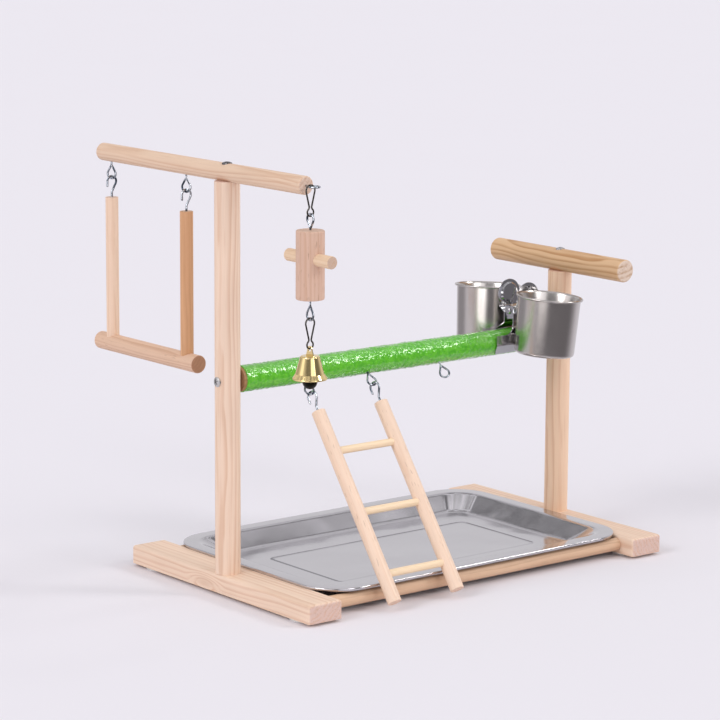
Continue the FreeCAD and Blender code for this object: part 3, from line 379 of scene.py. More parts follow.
@dataclass(frozen=True)
class CreaseShade:
    """Painted shade along a pressed line round a rounded rectangle, darkest along its left side."""

    centre: Point
    half: Point
    corner: float
    width: float
    # The painted shade's colour, and how dark it is all round and along the left side.
    colour: Colour = (0.08, 0.08, 0.10)
    faint_shade: float = 0.14
    left_side_shade: float = 0.82

    def draw(self, g: ShaderGraph, colour: Feed) -> bpy.types.NodeSocket:
        """Paint the shade line over a colour.

        Args:
            g: The material's graph.
            colour: The colour without the painted shade.

        Returns:
            The colour with the painted shade line.
        """
        half_x, half_y = self.half
        coords = g.add("ShaderNodeTexCoord").outputs["Object"]
        coords = g.vector("SUBTRACT", coords, (*self.centre, 0.0)).outputs[0]
        beyond = g.vector("SUBTRACT", g.vector("ABSOLUTE", coords).outputs[0],
                          (half_x - self.corner, half_y - self.corner, 0.0)).outputs[0]
        beyond = g.vector("MAXIMUM", g.drawn_out(beyond, 0.0)).outputs[0]
        away = g.math("SUBTRACT", g.vector("LENGTH", beyond).outputs["Value"], self.corner)
        away = g.math("ABSOLUTE", g.math("ADD", away, self.width / 2))
        # Painted shade: a thin dark line just inside the panel's edge, faint all round and darkest on the
        # left side.
        line = g.math("SUBTRACT", 1.0, g.step(away, 0.30 * self.width, 0.55 * self.width))
        leftward = g.math("MULTIPLY", g.add("ShaderNodeSeparateXYZ", {0: coords}).outputs["X"], -1.0)
        left = g.step(leftward, half_x - self.corner, half_x - 0.5 * self.corner)
        depth = g.math("MULTIPLY_ADD", left, self.left_side_shade - self.faint_shade, self.faint_shade)
        return g.mix(g.math("MULTIPLY", line, depth), colour, self.colour)


@dataclass(frozen=True)
class Metal:
    """Bare metal, from mirror bright to satin."""

    name: str
    colour: Colour
    roughness: float
    mottle: float = 0.05
    wave: float = 0.0
    wave_scale: float = 60.0
    brush: Brush = Brush.NONE
    brush_depth: float = 0.0
    # Colour of painted dark reflection blotches, if any.
    painted_dark_reflection: Colour | None = None
    painted_reflection_scale: float = 35.0
    # A painted shade line round a pressed panel, if any.
    crease_shade: CreaseShade | None = None
    cloud_scale: float = 140.0
    lathe_lines: float = 4000.0
    line_relief: float = 0.00003

    def material(self, piece: str, centre: Vector, axis: Vector = UP) -> bpy.types.Material:
        """The material of one piece in this metal.

        Args:
            piece: The piece's name.
            centre: The piece's middle.
            axis: The axis it was turned about, for turned pieces.

        Returns:
            The material.
        """
        g = ShaderGraph(f"{self.name}.{piece}")
        place = g.local(centre, axis)
        cloud = g.noise(place, self.cloud_scale, 4.0, 0.6, 1.0).outputs["Fac"]
        colour = g.shade(self.colour, g.swing(cloud, self.mottle))
        if self.painted_dark_reflection is not None:
            # Painted reflection: dark blotches over about half the surface, standing in for dark reflections
            # of the room.
            reflection_blotches = g.noise(g.drawn_out(place, 0.3), self.painted_reflection_scale, 3.0, 0.6, 2.0).outputs["Fac"]
            colour = g.mix(g.step(reflection_blotches, 0.42, 0.60), colour, self.painted_dark_reflection)
        # Painted shade line along a pressed panel's edge, where one is given.
        if self.crease_shade is not None:
            colour = self.crease_shade.draw(g, colour)
        normal = None
        if self.wave > 0:
            height = g.noise(place, self.wave_scale, 1.5, 0.4, 5.0).outputs["Fac"]
            normal = g.bump(height, 1.0, self.wave)
        if self.brush is Brush.ROUND:
            lines = g.noise(g.stretch(place, (2.0, 2.0, self.lathe_lines)), 1.0, 3.0, 0.7, 4.0).outputs["Fac"]
            normal = g.bump(lines, self.brush_depth, self.line_relief, normal)
            cloud = g.math("MULTIPLY_ADD", lines, 0.5, g.math("MULTIPLY", cloud, 0.5))
        roughness = g.swing(cloud, 0.35 * self.roughness, self.roughness)
        return g.finish(colour, roughness, normal, Metallic=1.0)


@dataclass(frozen=True)
class Enamel:
    """A smooth non-metal skin: paint, rubber or plastic."""

    name: str
    colour: Colour
    roughness: float
    grit: float = 0.1
    grit_scale: float = 900.0
    shine: float = 0.5
    patch_scale: float = 90.0
    relief: float = 0.0002

    def material(self, piece: str, centre: Vector) -> bpy.types.Material:
        """The material of one piece with this skin.

        Args:
            piece: The piece's name.
            centre: The piece's middle.

        Returns:
            The material.
        """
        g = ShaderGraph(f"{self.name}.{piece}")
        place = g.local(centre, UP)
        grains = g.noise(place, self.grit_scale, 3.0, 0.6, 1.0).outputs["Fac"]
        patches = g.noise(place, self.patch_scale, 3.0, 0.5, 2.0).outputs["Fac"]
        colour = g.shade(self.colour, g.swing(patches, 0.12))
        return g.finish(colour, g.swing(patches, 0.25 * self.roughness, self.roughness),
                        g.bump(grains, self.grit, self.relief), Specular_IOR_Level=self.shine)


@dataclass(frozen=True)
class GritCoating:
    """A thick glossy coating with grit under its skin."""

    name: str
    colour: Colour
    deep: Colour
    pale: Colour
    roughness: float = 0.17
    worn: Colour = (0.55, 0.44, 0.24)
    worn_reach: Point = (0.004, 0.011)
    underside: float = -0.011
    lump_scale: float = 260.0
    lump_relief: float = 0.0016
    grain_scale: float = 1400.0
    grain_relief: float = 0.0003
    pool_scale: float = 70.0

    def material(self, piece: str, centre: Vector, bare_x: float) -> bpy.types.Material:
        """The coating's material.

        Args:
            piece: The piece's name.
            centre: The coated bar's middle.
            bare_x: Where along X the coating is thin and the wood shows through.

        Returns:
            The material.
        """
        g = ShaderGraph(f"{self.name}.{piece}")
        place = g.local(centre, UP)
        lumps = g.noise(place, self.lump_scale, 2.0, 0.5, 1.0).outputs["Fac"]
        grains = g.noise(place, self.grain_scale, 3.0, 0.6, 2.0).outputs["Fac"]
        pools = g.noise(g.stretch(place, (0.5, 1.0, 1.0)), self.pool_scale, 3.0, 0.5, 3.0).outputs["Fac"]
        colour = g.mix(g.step(lumps, 0.35, 0.62), self.deep, self.colour)
        colour = g.mix(g.math("MULTIPLY", g.step(pools, 0.52, 0.72), 0.35), colour, self.pale)
        colour = g.shade(colour, g.swing(grains, 0.10))
        away = g.vector("SUBTRACT", place, (bare_x, 0.0, self.underside)).outputs[0]
        away = g.vector("LENGTH", away).outputs["Value"]
        worn = g.math("SUBTRACT", 1.0, g.step(away, *self.worn_reach))
        colour = g.mix(g.math("MULTIPLY", worn, 0.7), colour, self.worn)
        normal = g.bump(lumps, 0.8, self.lump_relief)
        normal = g.bump(grains, 0.12, self.grain_relief, normal)
        return g.finish(colour, g.swing(grains, 0.06, self.roughness), normal,
                        Specular_IOR_Level=0.5, Coat_Weight=1.0, Coat_Roughness=0.03)


PINE = Timber("pine", (0.90, 0.68, 0.53), (0.70, 0.42, 0.27), (0.71, 0.51, 0.45), ring_gap=0.0046)
WARM_PINE = Timber("warm pine", (0.93, 0.66, 0.47), (0.72, 0.40, 0.235), (0.78, 0.56, 0.46), ring_gap=0.0072)
PERCH_PINE = Timber("perch pine", (0.80, 0.585, 0.43), (0.62, 0.36, 0.225), (0.76, 0.57, 0.46),
                    ring_gap=0.0036)
LOW_PERCH_PINE = Timber("low perch pine", (0.72, 0.475, 0.275), (0.50, 0.265, 0.115), (0.76, 0.62, 0.52),
                        ring_gap=0.0052, ring_depth=1.0, drift=0.12, warp=0.030, unevenness=0.5)
RAIL_WOOD = Timber("rail wood", (0.76, 0.51, 0.34), (0.54, 0.32, 0.19), (0.55, 0.38, 0.28), ring_depth=0.5)
SWING_TAN = Timber("tan dowel", (0.72, 0.40, 0.215), (0.54, 0.265, 0.12), (0.6, 0.38, 0.24), ring_depth=0.5)
SWING_PALE = Timber("pale dowel", (0.90, 0.66, 0.50), (0.74, 0.47, 0.31), (0.7, 0.5, 0.4), ring_depth=0.45)
SWING_RED = Timber("red dowel", (0.78, 0.53, 0.38), (0.56, 0.31, 0.19), (0.42, 0.20, 0.12), fleck=0.3)
BEECH = Timber("beech", (0.92, 0.70, 0.545), (0.78, 0.51, 0.35), (0.78, 0.55, 0.42), ring_depth=0.35,
               fleck=0.45)
RAMIN = Timber("rung wood", (0.96, 0.75, 0.52), (0.84, 0.60, 0.36), (0.7, 0.54, 0.38), ring_depth=0.3)
BLOCK_WOOD = Timber("block wood", (0.72, 0.485, 0.37), (0.60, 0.345, 0.225), (0.66, 0.46, 0.35), fleck=0.5)
DOWEL_YELLOW = Timber("cross dowel wood", (0.84, 0.62, 0.43), (0.64, 0.40, 0.22), (0.60, 0.43, 0.34),
                      ring_depth=0.4)
BAR_WOOD = Timber("bar wood", (0.40, 0.22, 0.10), (0.26, 0.13, 0.05), (0.4, 0.24, 0.14))

TRAY_STEEL = Metal("polished steel", (0.60, 0.585, 0.61), 0.12, 0.03, wave=0.0021, wave_scale=14.0)
CUP_STEEL = Metal("satin steel", (0.56, 0.53, 0.51), 0.24, 0.06, brush=Brush.ROUND, brush_depth=0.12)
CLAMP_STEEL = Metal("bright plate", (0.56, 0.56, 0.58), 0.08, 0.04, wave=0.0006, wave_scale=45.0)
# Zinc wire with painted dark reflection blotches.
ZINC = Metal("zinc wire", (0.60, 0.64, 0.70), 0.10, 0.2, wave=0.0005, wave_scale=420.0,
             painted_dark_reflection=(0.06, 0.08, 0.11), painted_reflection_scale=300.0)
DARK_WIRE = Metal("dark bright wire", (0.11, 0.10, 0.09), 0.13, 0.15)
SPRING_WIRE = Metal("spring wire", (0.84, 0.83, 0.82), 0.12, 0.1)
BRASS = Metal("polished brass", (0.90, 0.70, 0.34), 0.09, 0.04, brush=Brush.ROUND, brush_depth=0.06)
BLACK_STEEL = Metal("blackened steel", (0.17, 0.165, 0.17), 0.22, 0.15)
BRIGHT_STEEL = Metal("bright screw", (0.62, 0.61, 0.60), 0.15, 0.1)
BLACK_PAINT = Enamel("black enamel", (0.008, 0.008, 0.004), 0.15, grit=0.05, grit_scale=400.0, shine=0.16)
PAD_RUBBER = Enamel("pad rubber", (0.80, 0.79, 0.77), 0.6, grit=0.3)
GREEN_COAT = GritCoating("green grit coating", (0.135, 0.58, 0.022), (0.085, 0.46, 0.015),
                         (0.26, 0.60, 0.12), 0.12)


# ------------------------------------------------------------------ meshes
class Forge:
    """Turns points into finished mesh objects with their place in the mesh."""

    @staticmethod
    def to_object(name: str, shape: bmesh.types.BMesh, material: bpy.types.Material,
                  smooth: bool = True) -> bpy.types.Object:
        """Make an object of a bmesh.

        Args:
            name: The object's name.
            shape: The bmesh, which is used up.
            material: The only material.
            smooth: Whether the faces are shaded smooth.

        Returns:
            The linked object.
        """
        for face in shape.faces:
            face.smooth = smooth
        mesh = bpy.data.meshes.new(name)
        shape.to_mesh(mesh)
        shape.free()
        mesh.materials.append(material)
        piece = bpy.data.objects.new(name, mesh)
        bpy.context.scene.collection.objects.link(piece)
        return piece

    @staticmethod
    def skin(rings: Sequence[Sequence[Vector]], caps: bool) -> bmesh.types.BMesh:
        """Join rings of points into quads.

        Args:
            rings: Rings with equal numbers of points; a ring of one point is a pole.
            caps: Whether the first and last rings are filled.

        Returns:
            The closed bmesh, with its normals outward.
        """
        shape = bmesh.new()
        loops = [[shape.verts.new(point) for point in ring] for ring in rings]
        for low, high in zip(loops, loops[1:]):
            count = max(len(low), len(high))
            for index in range(count):
                after = (index + 1) % count
                if len(low) == 1:
                    shape.faces.new((low[0], high[after], high[index]))
                elif len(high) == 1:
                    shape.faces.new((low[index], low[after], high[0]))
                else:
                    shape.faces.new((low[index], low[after], high[after], high[index]))
        if caps:
            shape.faces.new(loops[0][::-1])
            shape.faces.new(loops[-1])
        bmesh.ops.recalc_face_normals(shape, faces=shape.faces)
        return shape

    @staticmethod
    def turned(profile: Sequence[Point], foot: float, sides: int) -> bmesh.types.BMesh:
        """Turn a profile of (radius, height) points about Z.

        Args:
            profile: The profile, from pole to pole.
            foot: Where height 0 lies along Z.
            sides: The number of sides.

        Returns:
            The closed bmesh.
        """
        rings = []
        for radius, height in profile:
            if radius < POLE_RADIUS:
                rings.append([Vector((0, 0, foot + height))])
                continue
            angles = [2 * math.pi * index / sides for index in range(sides)]
            rings.append([Vector((radius * math.cos(angle), radius * math.sin(angle), foot + height))
                          for angle in angles])
        return Forge.skin(rings, False)

    @staticmethod
    def soften(keys: Sequence[Sequence[float]], reach: Sequence[float],
               steps: int) -> list[tuple[float, ...]]:
        """Round off the corners of a line in any number of dimensions.

        Args:
            keys: The corners.
            reach: How far from each corner its bend starts.
            steps: The number of points in a bend.

        Returns:
            The softened line.
        """
        line = [tuple(keys[0])]
        for before, here, after, distance in zip(keys, keys[1:], keys[2:], reach[1:]):
            back = [b - h for b, h in zip(before, here)]
            ahead = [a - h for a, h in zip(after, here)]
            near = min(distance / math.hypot(*back), MOST_OF_HALF)
            far = min(distance / math.hypot(*ahead), MOST_OF_HALF)
            start = [h + near * b for h, b in zip(here, back)]
            end = [h + far * a for h, a in zip(here, ahead)]
            for index in range(steps + 1):
                t = index / steps
                line.append(tuple((1 - t) ** 2 * s + 2 * t * (1 - t) * h + t * t * e
                                  for s, h, e in zip(start, here, end)))
        line.append(tuple(keys[-1]))
        return line


def middle(node: str) -> Vector:
    """The middle of a CAD node's box."""
    low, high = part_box(node)
    return (low + high) / 2


def dress(node: str, material: bpy.types.Material) -> None:
    """Give a carried-over CAD node its material.

    Args:
        node: The node's name.
        material: Its new material.
    """
    piece = NODES[node]
    piece.data.materials.clear()
    piece.data.materials.append(material)
    LOG.info("dressed %s with %s", node, material.name)


def settle(piece: bpy.types.Object, body: str, slot: str, *nodes: str) -> None:
    """Hand a new piece to its body.

    Args:
        piece: The finished piece.
        body: The body that it rides on.
        slot: The name of a material slot; not used.
        nodes: The CAD nodes that it stands for.
    """
    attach(piece, body)
    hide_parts(*nodes)
    LOG.info("built %s on %s, %d faces", piece.name, body, len(piece.data.polygons))


# ------------------------------------------------------------------ sub-assemblies
@dataclass(frozen=True)
class DressedPart:
    """A sub-assembly whose CAD nodes keep their shapes: the cuts of its wood and its other finishes."""

    title: str
    cuts: dict[str, Cut]
    fittings: dict[str, Metal | Enamel]

    def build(self) -> None:
        """Dress every node."""
        for node, cut in self.cuts.items():
            cut.dress(node)
        for node, finish in self.fittings.items():
            dress(node, finish.material(node, middle(node)))


WOODEN_FRAME = DressedPart(
    "wooden frame",
    cuts={
        "left_foot_beam": Cut(PINE, Grain.ALONG_Y, (0.030, 0.034), 1.0, knots=(
            Knot((0.020, -0.001, 0.021), (0.016, 0.011, 0.036), 2.6, 0.25),)),
        "right_foot_beam": Cut(PINE, Grain.ALONG_Y, (-0.036, 0.022), 2.0),
        "front_rail": Cut(RAIL_WOOD, Grain.ALONG_X, (0.03, 0.02), 3.0),
        "rear_rail": Cut(RAIL_WOOD, Grain.ALONG_X, (0.02, 0.03), 4.0),
        "left_post": Cut(PINE, Grain.UPRIGHT, (0.050, 0.018), 5.0),
        "right_post": Cut(WARM_PINE, Grain.UPRIGHT, (0.012, -0.030), 6.0),
        "upper_perch": Cut(PERCH_PINE, Grain.ALONG_Y, (0.020, 0.020), 7.0),
        "low_perch": Cut(LOW_PERCH_PINE, Grain.ALONG_Y, (0.012, 0.030), 8.0),
        "crossbar": Cut(BAR_WOOD, Grain.ALONG_X, (0.01, 0.02), 9.0),
    },
    fittings={
        "foot_pads": PAD_RUBBER, "base_screws": BLACK_STEEL, "upper_perch_screw": BLACK_STEEL,
        "crossbar_screws": BRIGHT_STEEL, "low_perch_screw": BRIGHT_STEEL, "swing_eyes": ZINC,
        "ladder_eyes": ZINC, "spare_eye": ZINC, "toy_eye": ZINC,
    })

SWING = DressedPart(
    "swing",
    cuts={
        "swing_front_upright": Cut(SWING_TAN, Grain.UPRIGHT, (0.02, 0.01), 11.0, "front upright"),
        "swing_rear_upright": Cut(SWING_PALE, Grain.UPRIGHT, (0.01, 0.02), 12.0, "rear upright"),
        "swing_bar": Cut(SWING_RED, Grain.ALONG_Y, (0.02, 0.015), 13.0, "bar"),
    },
    fittings={"swing_hooks": ZINC})

LADDER = DressedPart(
    "ladder",
    cuts={
        "ladder_left_rail": Cut(BEECH, Grain.LEANING, (0.02, 0.012), 21.0),
        "ladder_right_rail": Cut(BEECH, Grain.LEANING, (0.02, 0.012), 22.0),
        "ladder_rungs": Cut(RAMIN, Grain.ALONG_X, (0.02, 0.01), 24.0, "rungs"),
    },
    fittings={"ladder_hooks": ZINC})

BELL_TOY = DressedPart(
    "bell toy",
    cuts={
        "toy_block": Cut(BLOCK_WOOD, Grain.UPRIGHT, (0.03, 0.012), 31.0, "block"),
        "cross_dowel": Cut(DOWEL_YELLOW, Grain.ALONG_Y, (0.012, 0.01), 32.0, "cross dowel"),
    },
    fittings={
        "block_top_eye": ZINC, "block_bottom_eye": ZINC, "upper_clip": DARK_WIRE, "lower_clip": DARK_WIRE,
        "bell_staple": DARK_WIRE, "bell_strap": BRASS, "bell_shell": BRASS, "clapper": BLACK_PAINT,
    })

CLAMP_METAL = DressedPart(
    "clamp",
    cuts={},
    fittings={
        "front_jaw": CLAMP_STEEL, "rear_jaw": CLAMP_STEEL, "clamp_pin": CLAMP_STEEL,
        "clamp_spring": SPRING_WIRE, "front_spring_arm": SPRING_WIRE, "rear_spring_arm": SPRING_WIRE,
    })


@dataclass
class CoatedBar:
    """The crossbar's lumpy coating, made by a node tree."""

    title: str = "coated bar"
    sides: int = 120
    rings: int = 620
    lump_height: float = 0.0011
    lump_scale: float = 210.0
    lump_middle: float = 0.52
    grit_scale: float = 330.0
    grit_depth: float = 0.55
    swell_scale: float = 38.0
    swell_height: float = 0.7
    sink: float = 0.15
    skin_gap: float = 0.0002
    seed: float = 4.0

    def tree(self) -> bpy.types.NodeTree:
        """The node tree of a lumpy sleeve along X.

        Returns:
            The tree, with its sizes as named inputs.
        """
        tree = bpy.data.node_groups.new("LumpySleeve", "GeometryNodeTree")
        sockets = (("Length", "NodeSocketFloat"), ("Radius", "NodeSocketFloat"),
                   ("Centre", "NodeSocketVector"), ("Lump Height", "NodeSocketFloat"),
                   ("Lump Scale", "NodeSocketFloat"), ("Seed", "NodeSocketFloat"),
                   ("Finish", "NodeSocketMaterial"))
        for name, kind in sockets:
            tree.interface.new_socket(name=name, in_out="INPUT", socket_type=kind)
        tree.interface.new_socket(name="Geometry", in_out="OUTPUT", socket_type="NodeSocketGeometry")
        g = Graph(tree)
        given = g.add("NodeGroupInput").outputs
        tube = g.add("GeometryNodeMeshCylinder", {"Vertices": self.sides, "Side Segments": self.rings,
                                                  "Radius": given["Radius"], "Depth": given["Length"]},
                     fill_type="NGON")
        laid = g.add("GeometryNodeTransform", {"Geometry": tube.outputs["Mesh"],
                                               "Rotation": (0.0, math.pi / 2, 0.0),
                                               "Translation": given["Centre"]})
        place = g.add("GeometryNodeInputPosition").outputs[0]
        lumps = g.noise(place, given["Lump Scale"], 2.0, 0.55, given["Seed"]).outputs["Fac"]
        swell = g.noise(place, self.swell_scale, 1.0, 0.5, given["Seed"]).outputs["Fac"]
        grit = g.add("ShaderNodeTexVoronoi", {"Vector": place, "Scale": self.grit_scale, "Smoothness": 0.5},
                     feature="SMOOTH_F1").outputs["Distance"]
        rise = g.math("SUBTRACT", lumps, self.lump_middle)
        rise = g.math("MULTIPLY_ADD", grit, -self.grit_depth, rise)
        rise = g.math("MULTIPLY_ADD", swell, self.swell_height, rise)
        rise = g.math("MULTIPLY", g.math("SUBTRACT", rise, self.sink), given["Lump Height"])
        spoke = g.vector("SUBTRACT", place, given["Centre"]).outputs[0]
        spoke = g.vector("NORMALIZE", g.stretch(spoke, (0.0, 1.0, 1.0))).outputs[0]
        push = g.add("ShaderNodeVectorMath", {0: spoke, "Scale": rise}, operation="SCALE").outputs[0]
        moved = g.add("GeometryNodeSetPosition", {"Geometry": laid.outputs[0], "Offset": push}).outputs[0]
        smooth = g.add("GeometryNodeSetShadeSmooth", {0: moved}).outputs[0]
        plain = g.add("GeometryNodeRealizeInstances", {0: smooth}).outputs[0]
        finish = {"Geometry": plain, "Material": given["Finish"]}
        painted = g.add("GeometryNodeSetMaterial", finish).outputs[0]
        g.add("NodeGroupOutput", {0: painted})
        return tree

    def build(self) -> None:
        """Build the sleeve over the crossbar."""
        low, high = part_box("crossbar_grip")
        centre = (low + high) / 2
        eye = middle("spare_eye")
        finish = GREEN_COAT.material("crossbar_grip", centre, eye.x - centre.x)
        values = {"Length": high.x - low.x, "Radius": (high.z - low.z) / 2 - self.skin_gap,
                  "Centre": tuple(centre), "Lump Height": self.lump_height, "Lump Scale": self.lump_scale,
                  "Seed": self.seed, "Finish": finish}
        piece = grown("coated_grip", self.tree(), values)
        settle(piece, "stand", "grip_green", "crossbar_grip")


def grown(name: str, tree: bpy.types.NodeTree, values: dict[str, object]) -> bpy.types.Object:
    """Run a geometry tree once and keep its plain mesh.

    Args:
        name: The piece's name.
        tree: The tree.
        values: Its inputs by name.

    Returns:
        The linked object, with no modifier left.
    """
    seed_mesh = bpy.data.meshes.new(name + "_seed")
    host = bpy.data.objects.new(name + "_host", seed_mesh)
    bpy.context.scene.collection.objects.link(host)
    modifier = host.modifiers.new("grow", "NODES")
    modifier.node_group = tree
    for item in tree.interface.items_tree:
        if item.in_out == "INPUT" and item.name in values:
            modifier[item.identifier] = values[item.name]
    bpy.context.view_layer.update()
    evaluated = host.evaluated_get(bpy.context.evaluated_depsgraph_get())
    mesh = bpy.data.meshes.new_from_object(evaluated)
    bpy.data.objects.remove(host)
    mesh.name = name
    piece = bpy.data.objects.new(name, mesh)
    bpy.context.scene.collection.objects.link(piece)
    return piece


@dataclass
class DripTray:
    """The pressed steel tray."""

    title: str = "tray"
    flange: Point = (0.0150, 0.0165)
    wall_run: float = 0.0235
    depth: float = 0.0147
    panel_margin: Point = (0.029, 0.0345)
    panel_shift: float = -0.0055
    panel_corner: float = 0.008
    panel_step: float = 0.0006
    panel_slope: float = 0.0012
    crease_shade_width: float = 0.0050
    floor_inset: float = 0.03
    rim_height: float = 0.003
    rim_width: float = 0.0018
    corner: float = 0.042
    mouth_corner: float = 0.030
    base_corner: float = 0.020
    rim_bends: Point = (0.0015, 0.0006)
    bends: tuple[float, ...] = (0.0045, 0.006, 0.0007, 0.0007)
    sheet: float = 0.0008
    corner_steps: int = 28

    def outlines(self, half: Vector) -> tuple[Point, Point, Point]:
        """Half the length and width of the mouth, of the floor and of the sunk panel."""
        mouth = (half.x - self.flange[0], half.y - self.flange[1])
        base = (mouth[0] - self.wall_run, mouth[1] - self.wall_run)
        return mouth, base, (base[0] - self.panel_margin[0], base[1] - self.panel_margin[1])

    def side(self, half: Vector, top: float, under: bool, steps: int) -> list[tuple[float, ...]]:
        """One side of the sheet, from the rim's lower edge to the middle of the floor.

        Args:
            half: Half the tray's size.
            top: The height of the flange.
            under: Whether this is the lower side.
            steps: The number of points in a bend.

        Returns:
            Rounded rectangles as half length, half width, corner, height and shift along Y.
        """
        thick, rim = (self.sheet, self.rim_width) if under else (0.0, 0.0)
        mouth, base, panel = self.outlines(half)
        inner, slope, shift = self.panel_corner, self.panel_slope, self.panel_shift
        flange, floor = top - thick, top - self.depth - thick
        sunk = floor - self.panel_step

        def level(outline: Point, growth: float, *rest: float) -> tuple[float, ...]:
            """An outline that has grown on all sides, with the rest of its key."""
            return (outline[0] + growth, outline[1] + growth, *rest)

        keys = [level((half.x, half.y), -rim, self.corner, top - self.rim_height, 0.0),
                level((half.x, half.y), -rim, self.corner, flange, 0.0),
                level(mouth, 0.6 * thick, self.mouth_corner, flange, 0.0),
                level(base, 0.6 * thick, self.base_corner, floor, 0.0),
                level(panel, 0.3 * thick, inner, floor, shift),
                level(panel, -slope, inner - slope, sunk, shift),
                level(panel, -self.floor_inset, inner - slope, sunk, shift)]
        return Forge.soften(keys, (0, self.rim_bends[under], *self.bends, 0), steps)

    def ring(self, centre: Vector, half_x: float, half_y: float, corner: float, z: float,
             shift: float) -> list[Vector]:
        """A rounded rectangle of points at height z, shifted along Y."""
        points = []
        for index, (sx, sy) in enumerate(((1, 1), (-1, 1), (-1, -1), (1, -1))):
            hub = Vector((centre.x + sx * (half_x - corner), centre.y + shift + sy * (half_y - corner), z))
            for step in range(self.corner_steps + 1):
                angle = math.pi / 2 * (index + step / self.corner_steps)
                points.append(hub + Vector((math.cos(angle), math.sin(angle), 0)) * corner)
        return points

    def build(self) -> None:
        """Loft the tray from its rim to the middle of its floor and back under the sheet."""
        low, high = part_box("tray")
        centre, half = (low + high) / 2, (high - low) / 2
        line = self.side(half, high.z, True, 6)[::-1] + self.side(half, high.z, False, 10)
        shape = Forge.skin([self.ring(centre, *key) for key in line], True)
        # The sunk panel's edge gets a painted shade line, darkest on its left side.
        crease_shade = CreaseShade((centre.x, centre.y + self.panel_shift), self.outlines(half)[2], self.panel_corner,
                        self.crease_shade_width)
        steel = replace(TRAY_STEEL, crease_shade=crease_shade)
        piece = Forge.to_object("pressed_tray", shape, steel.material("tray", centre))
        settle(piece, "tray", "tray_steel", "tray")


@dataclass
class FeederCups:
    """The two cups of the clip-on pair."""

    title: str = "feeder cups"
    wall: float = 0.0008
    taper: float = 0.0015
    corner: float = 0.0042
    bead: float = 0.0012
    bead_turn: float = 150.0
    bead_steps: int = 14
    ease: float = 0.0002
    foot_width: float = 0.009
    foot_slope: float = 0.002
    foot_bend: float = 0.0008
    floor_lift: float = 0.0006
    inner_lift: float = 0.0007
    sides: int = 160
    cup_radius: float = 0.0325
    height: float = 0.0610
    plate_face: float = 0.0153
    reach: float = 0.04853
    rim_rise: float = 0.0524
    lean_out: float = 2.5
    lean_side: float = 4.0

    def profile(self) -> list[Point]:
        """The cup's profile, from the middle of its floor round its rim and back inside."""
        top, bottom = self.cup_radius, self.cup_radius - self.taper
        foot, neck = bottom - self.foot_width, self.height - 2 * self.bead
        outside = [(0.0, self.floor_lift), (foot, self.floor_lift), (foot + self.foot_slope, 0.0),
                   (bottom, 0.0), (top, neck - self.ease), (top, neck)]
        line = Forge.soften(outside, (0, self.foot_bend, self.foot_bend, self.corner, self.ease, 0), 8)
        hub = (top + self.bead + self.ease / 2, self.height - self.bead)
        for index in range(self.bead_steps + 1):
            angle = math.radians(self.bead_turn * (2 * index / self.bead_steps - 1))
            line.append((hub[0] + self.bead * math.cos(angle), hub[1] + self.bead * math.sin(angle)))
        floor = self.wall + self.inner_lift
        inside = [(top - self.wall, neck), (bottom - self.wall, self.wall + self.ease), (foot, floor),
                  (0.0, floor)]
        return line + Forge.soften(inside, (0, self.corner, self.foot_bend, 0), 8)

    def build(self) -> None:
        """Build both cups."""
        bar = middle("crossbar")
        for node, body, sign in (("front_cup", "front_jaw", -1), ("rear_cup", "rear_jaw", 1)):
            rim = Vector((middle("clamp_pin").x, bar.y + sign * self.reach, bar.z + self.rim_rise))
            shape = Forge.turned(self.profile(), -self.height, self.sides)
            lean = (Matrix.Rotation(math.radians(self.lean_side), 3, "Y")
                    @ Matrix.Rotation(math.radians(-sign * self.lean_out), 3, "X"))
            axis = lean @ UP
            face = bar.y + sign * self.plate_face
            for vertex in shape.verts:
                vertex.co = rim + lean @ vertex.co
                if (vertex.co.y - face) * sign < 0:
                    vertex.co.y = face
            finish = CUP_STEEL.material(node, rim - axis * self.height, axis)
            settle(Forge.to_object(node.replace("_", "_steel_"), shape, finish), body, "cup_steel", node)


@dataclass(frozen=True)
class Patch:
    """A part of the room as polished metal sees it: its direction, and the cosines over which it fades in."""

    toward: tuple[float, float, float]
    fade: Point

    def share(self, g: Graph, direction: Feed, start: Feed = 0.0, end: Feed = 1.0) -> bpy.types.NodeSocket:
        """A value that goes from start outside the patch to end inside it.

        Args:
            g: The graph that it is drawn in.
            direction: The direction looked in.
            start: The value outside.
            end: The value inside.

        Returns:
            The value.
        """
        dot = g.vector("DOT_PRODUCT", direction, self.toward).outputs["Value"]
        return g.step(dot, *self.fade, start, end)


@dataclass(frozen=True)
class Lamp:
    """One soft lamp a long way off: its direction, its width in degrees, its strength and its colour."""

    name: str
    toward: tuple[float, float, float]
    spread: float
    level: float
    colour: Colour = WHITE

    def hang(self) -> None:
        """Put the lamp in the scene."""
        light = bpy.data.lights.new(self.name, "SUN")
        light.angle = math.radians(self.spread)
        light.energy = self.level
        light.color = self.colour
        holder = bpy.data.objects.new(self.name, light)
        holder.rotation_euler = Vector(self.toward).to_track_quat("Z", "Y").to_euler()
        bpy.context.scene.collection.objects.link(holder)


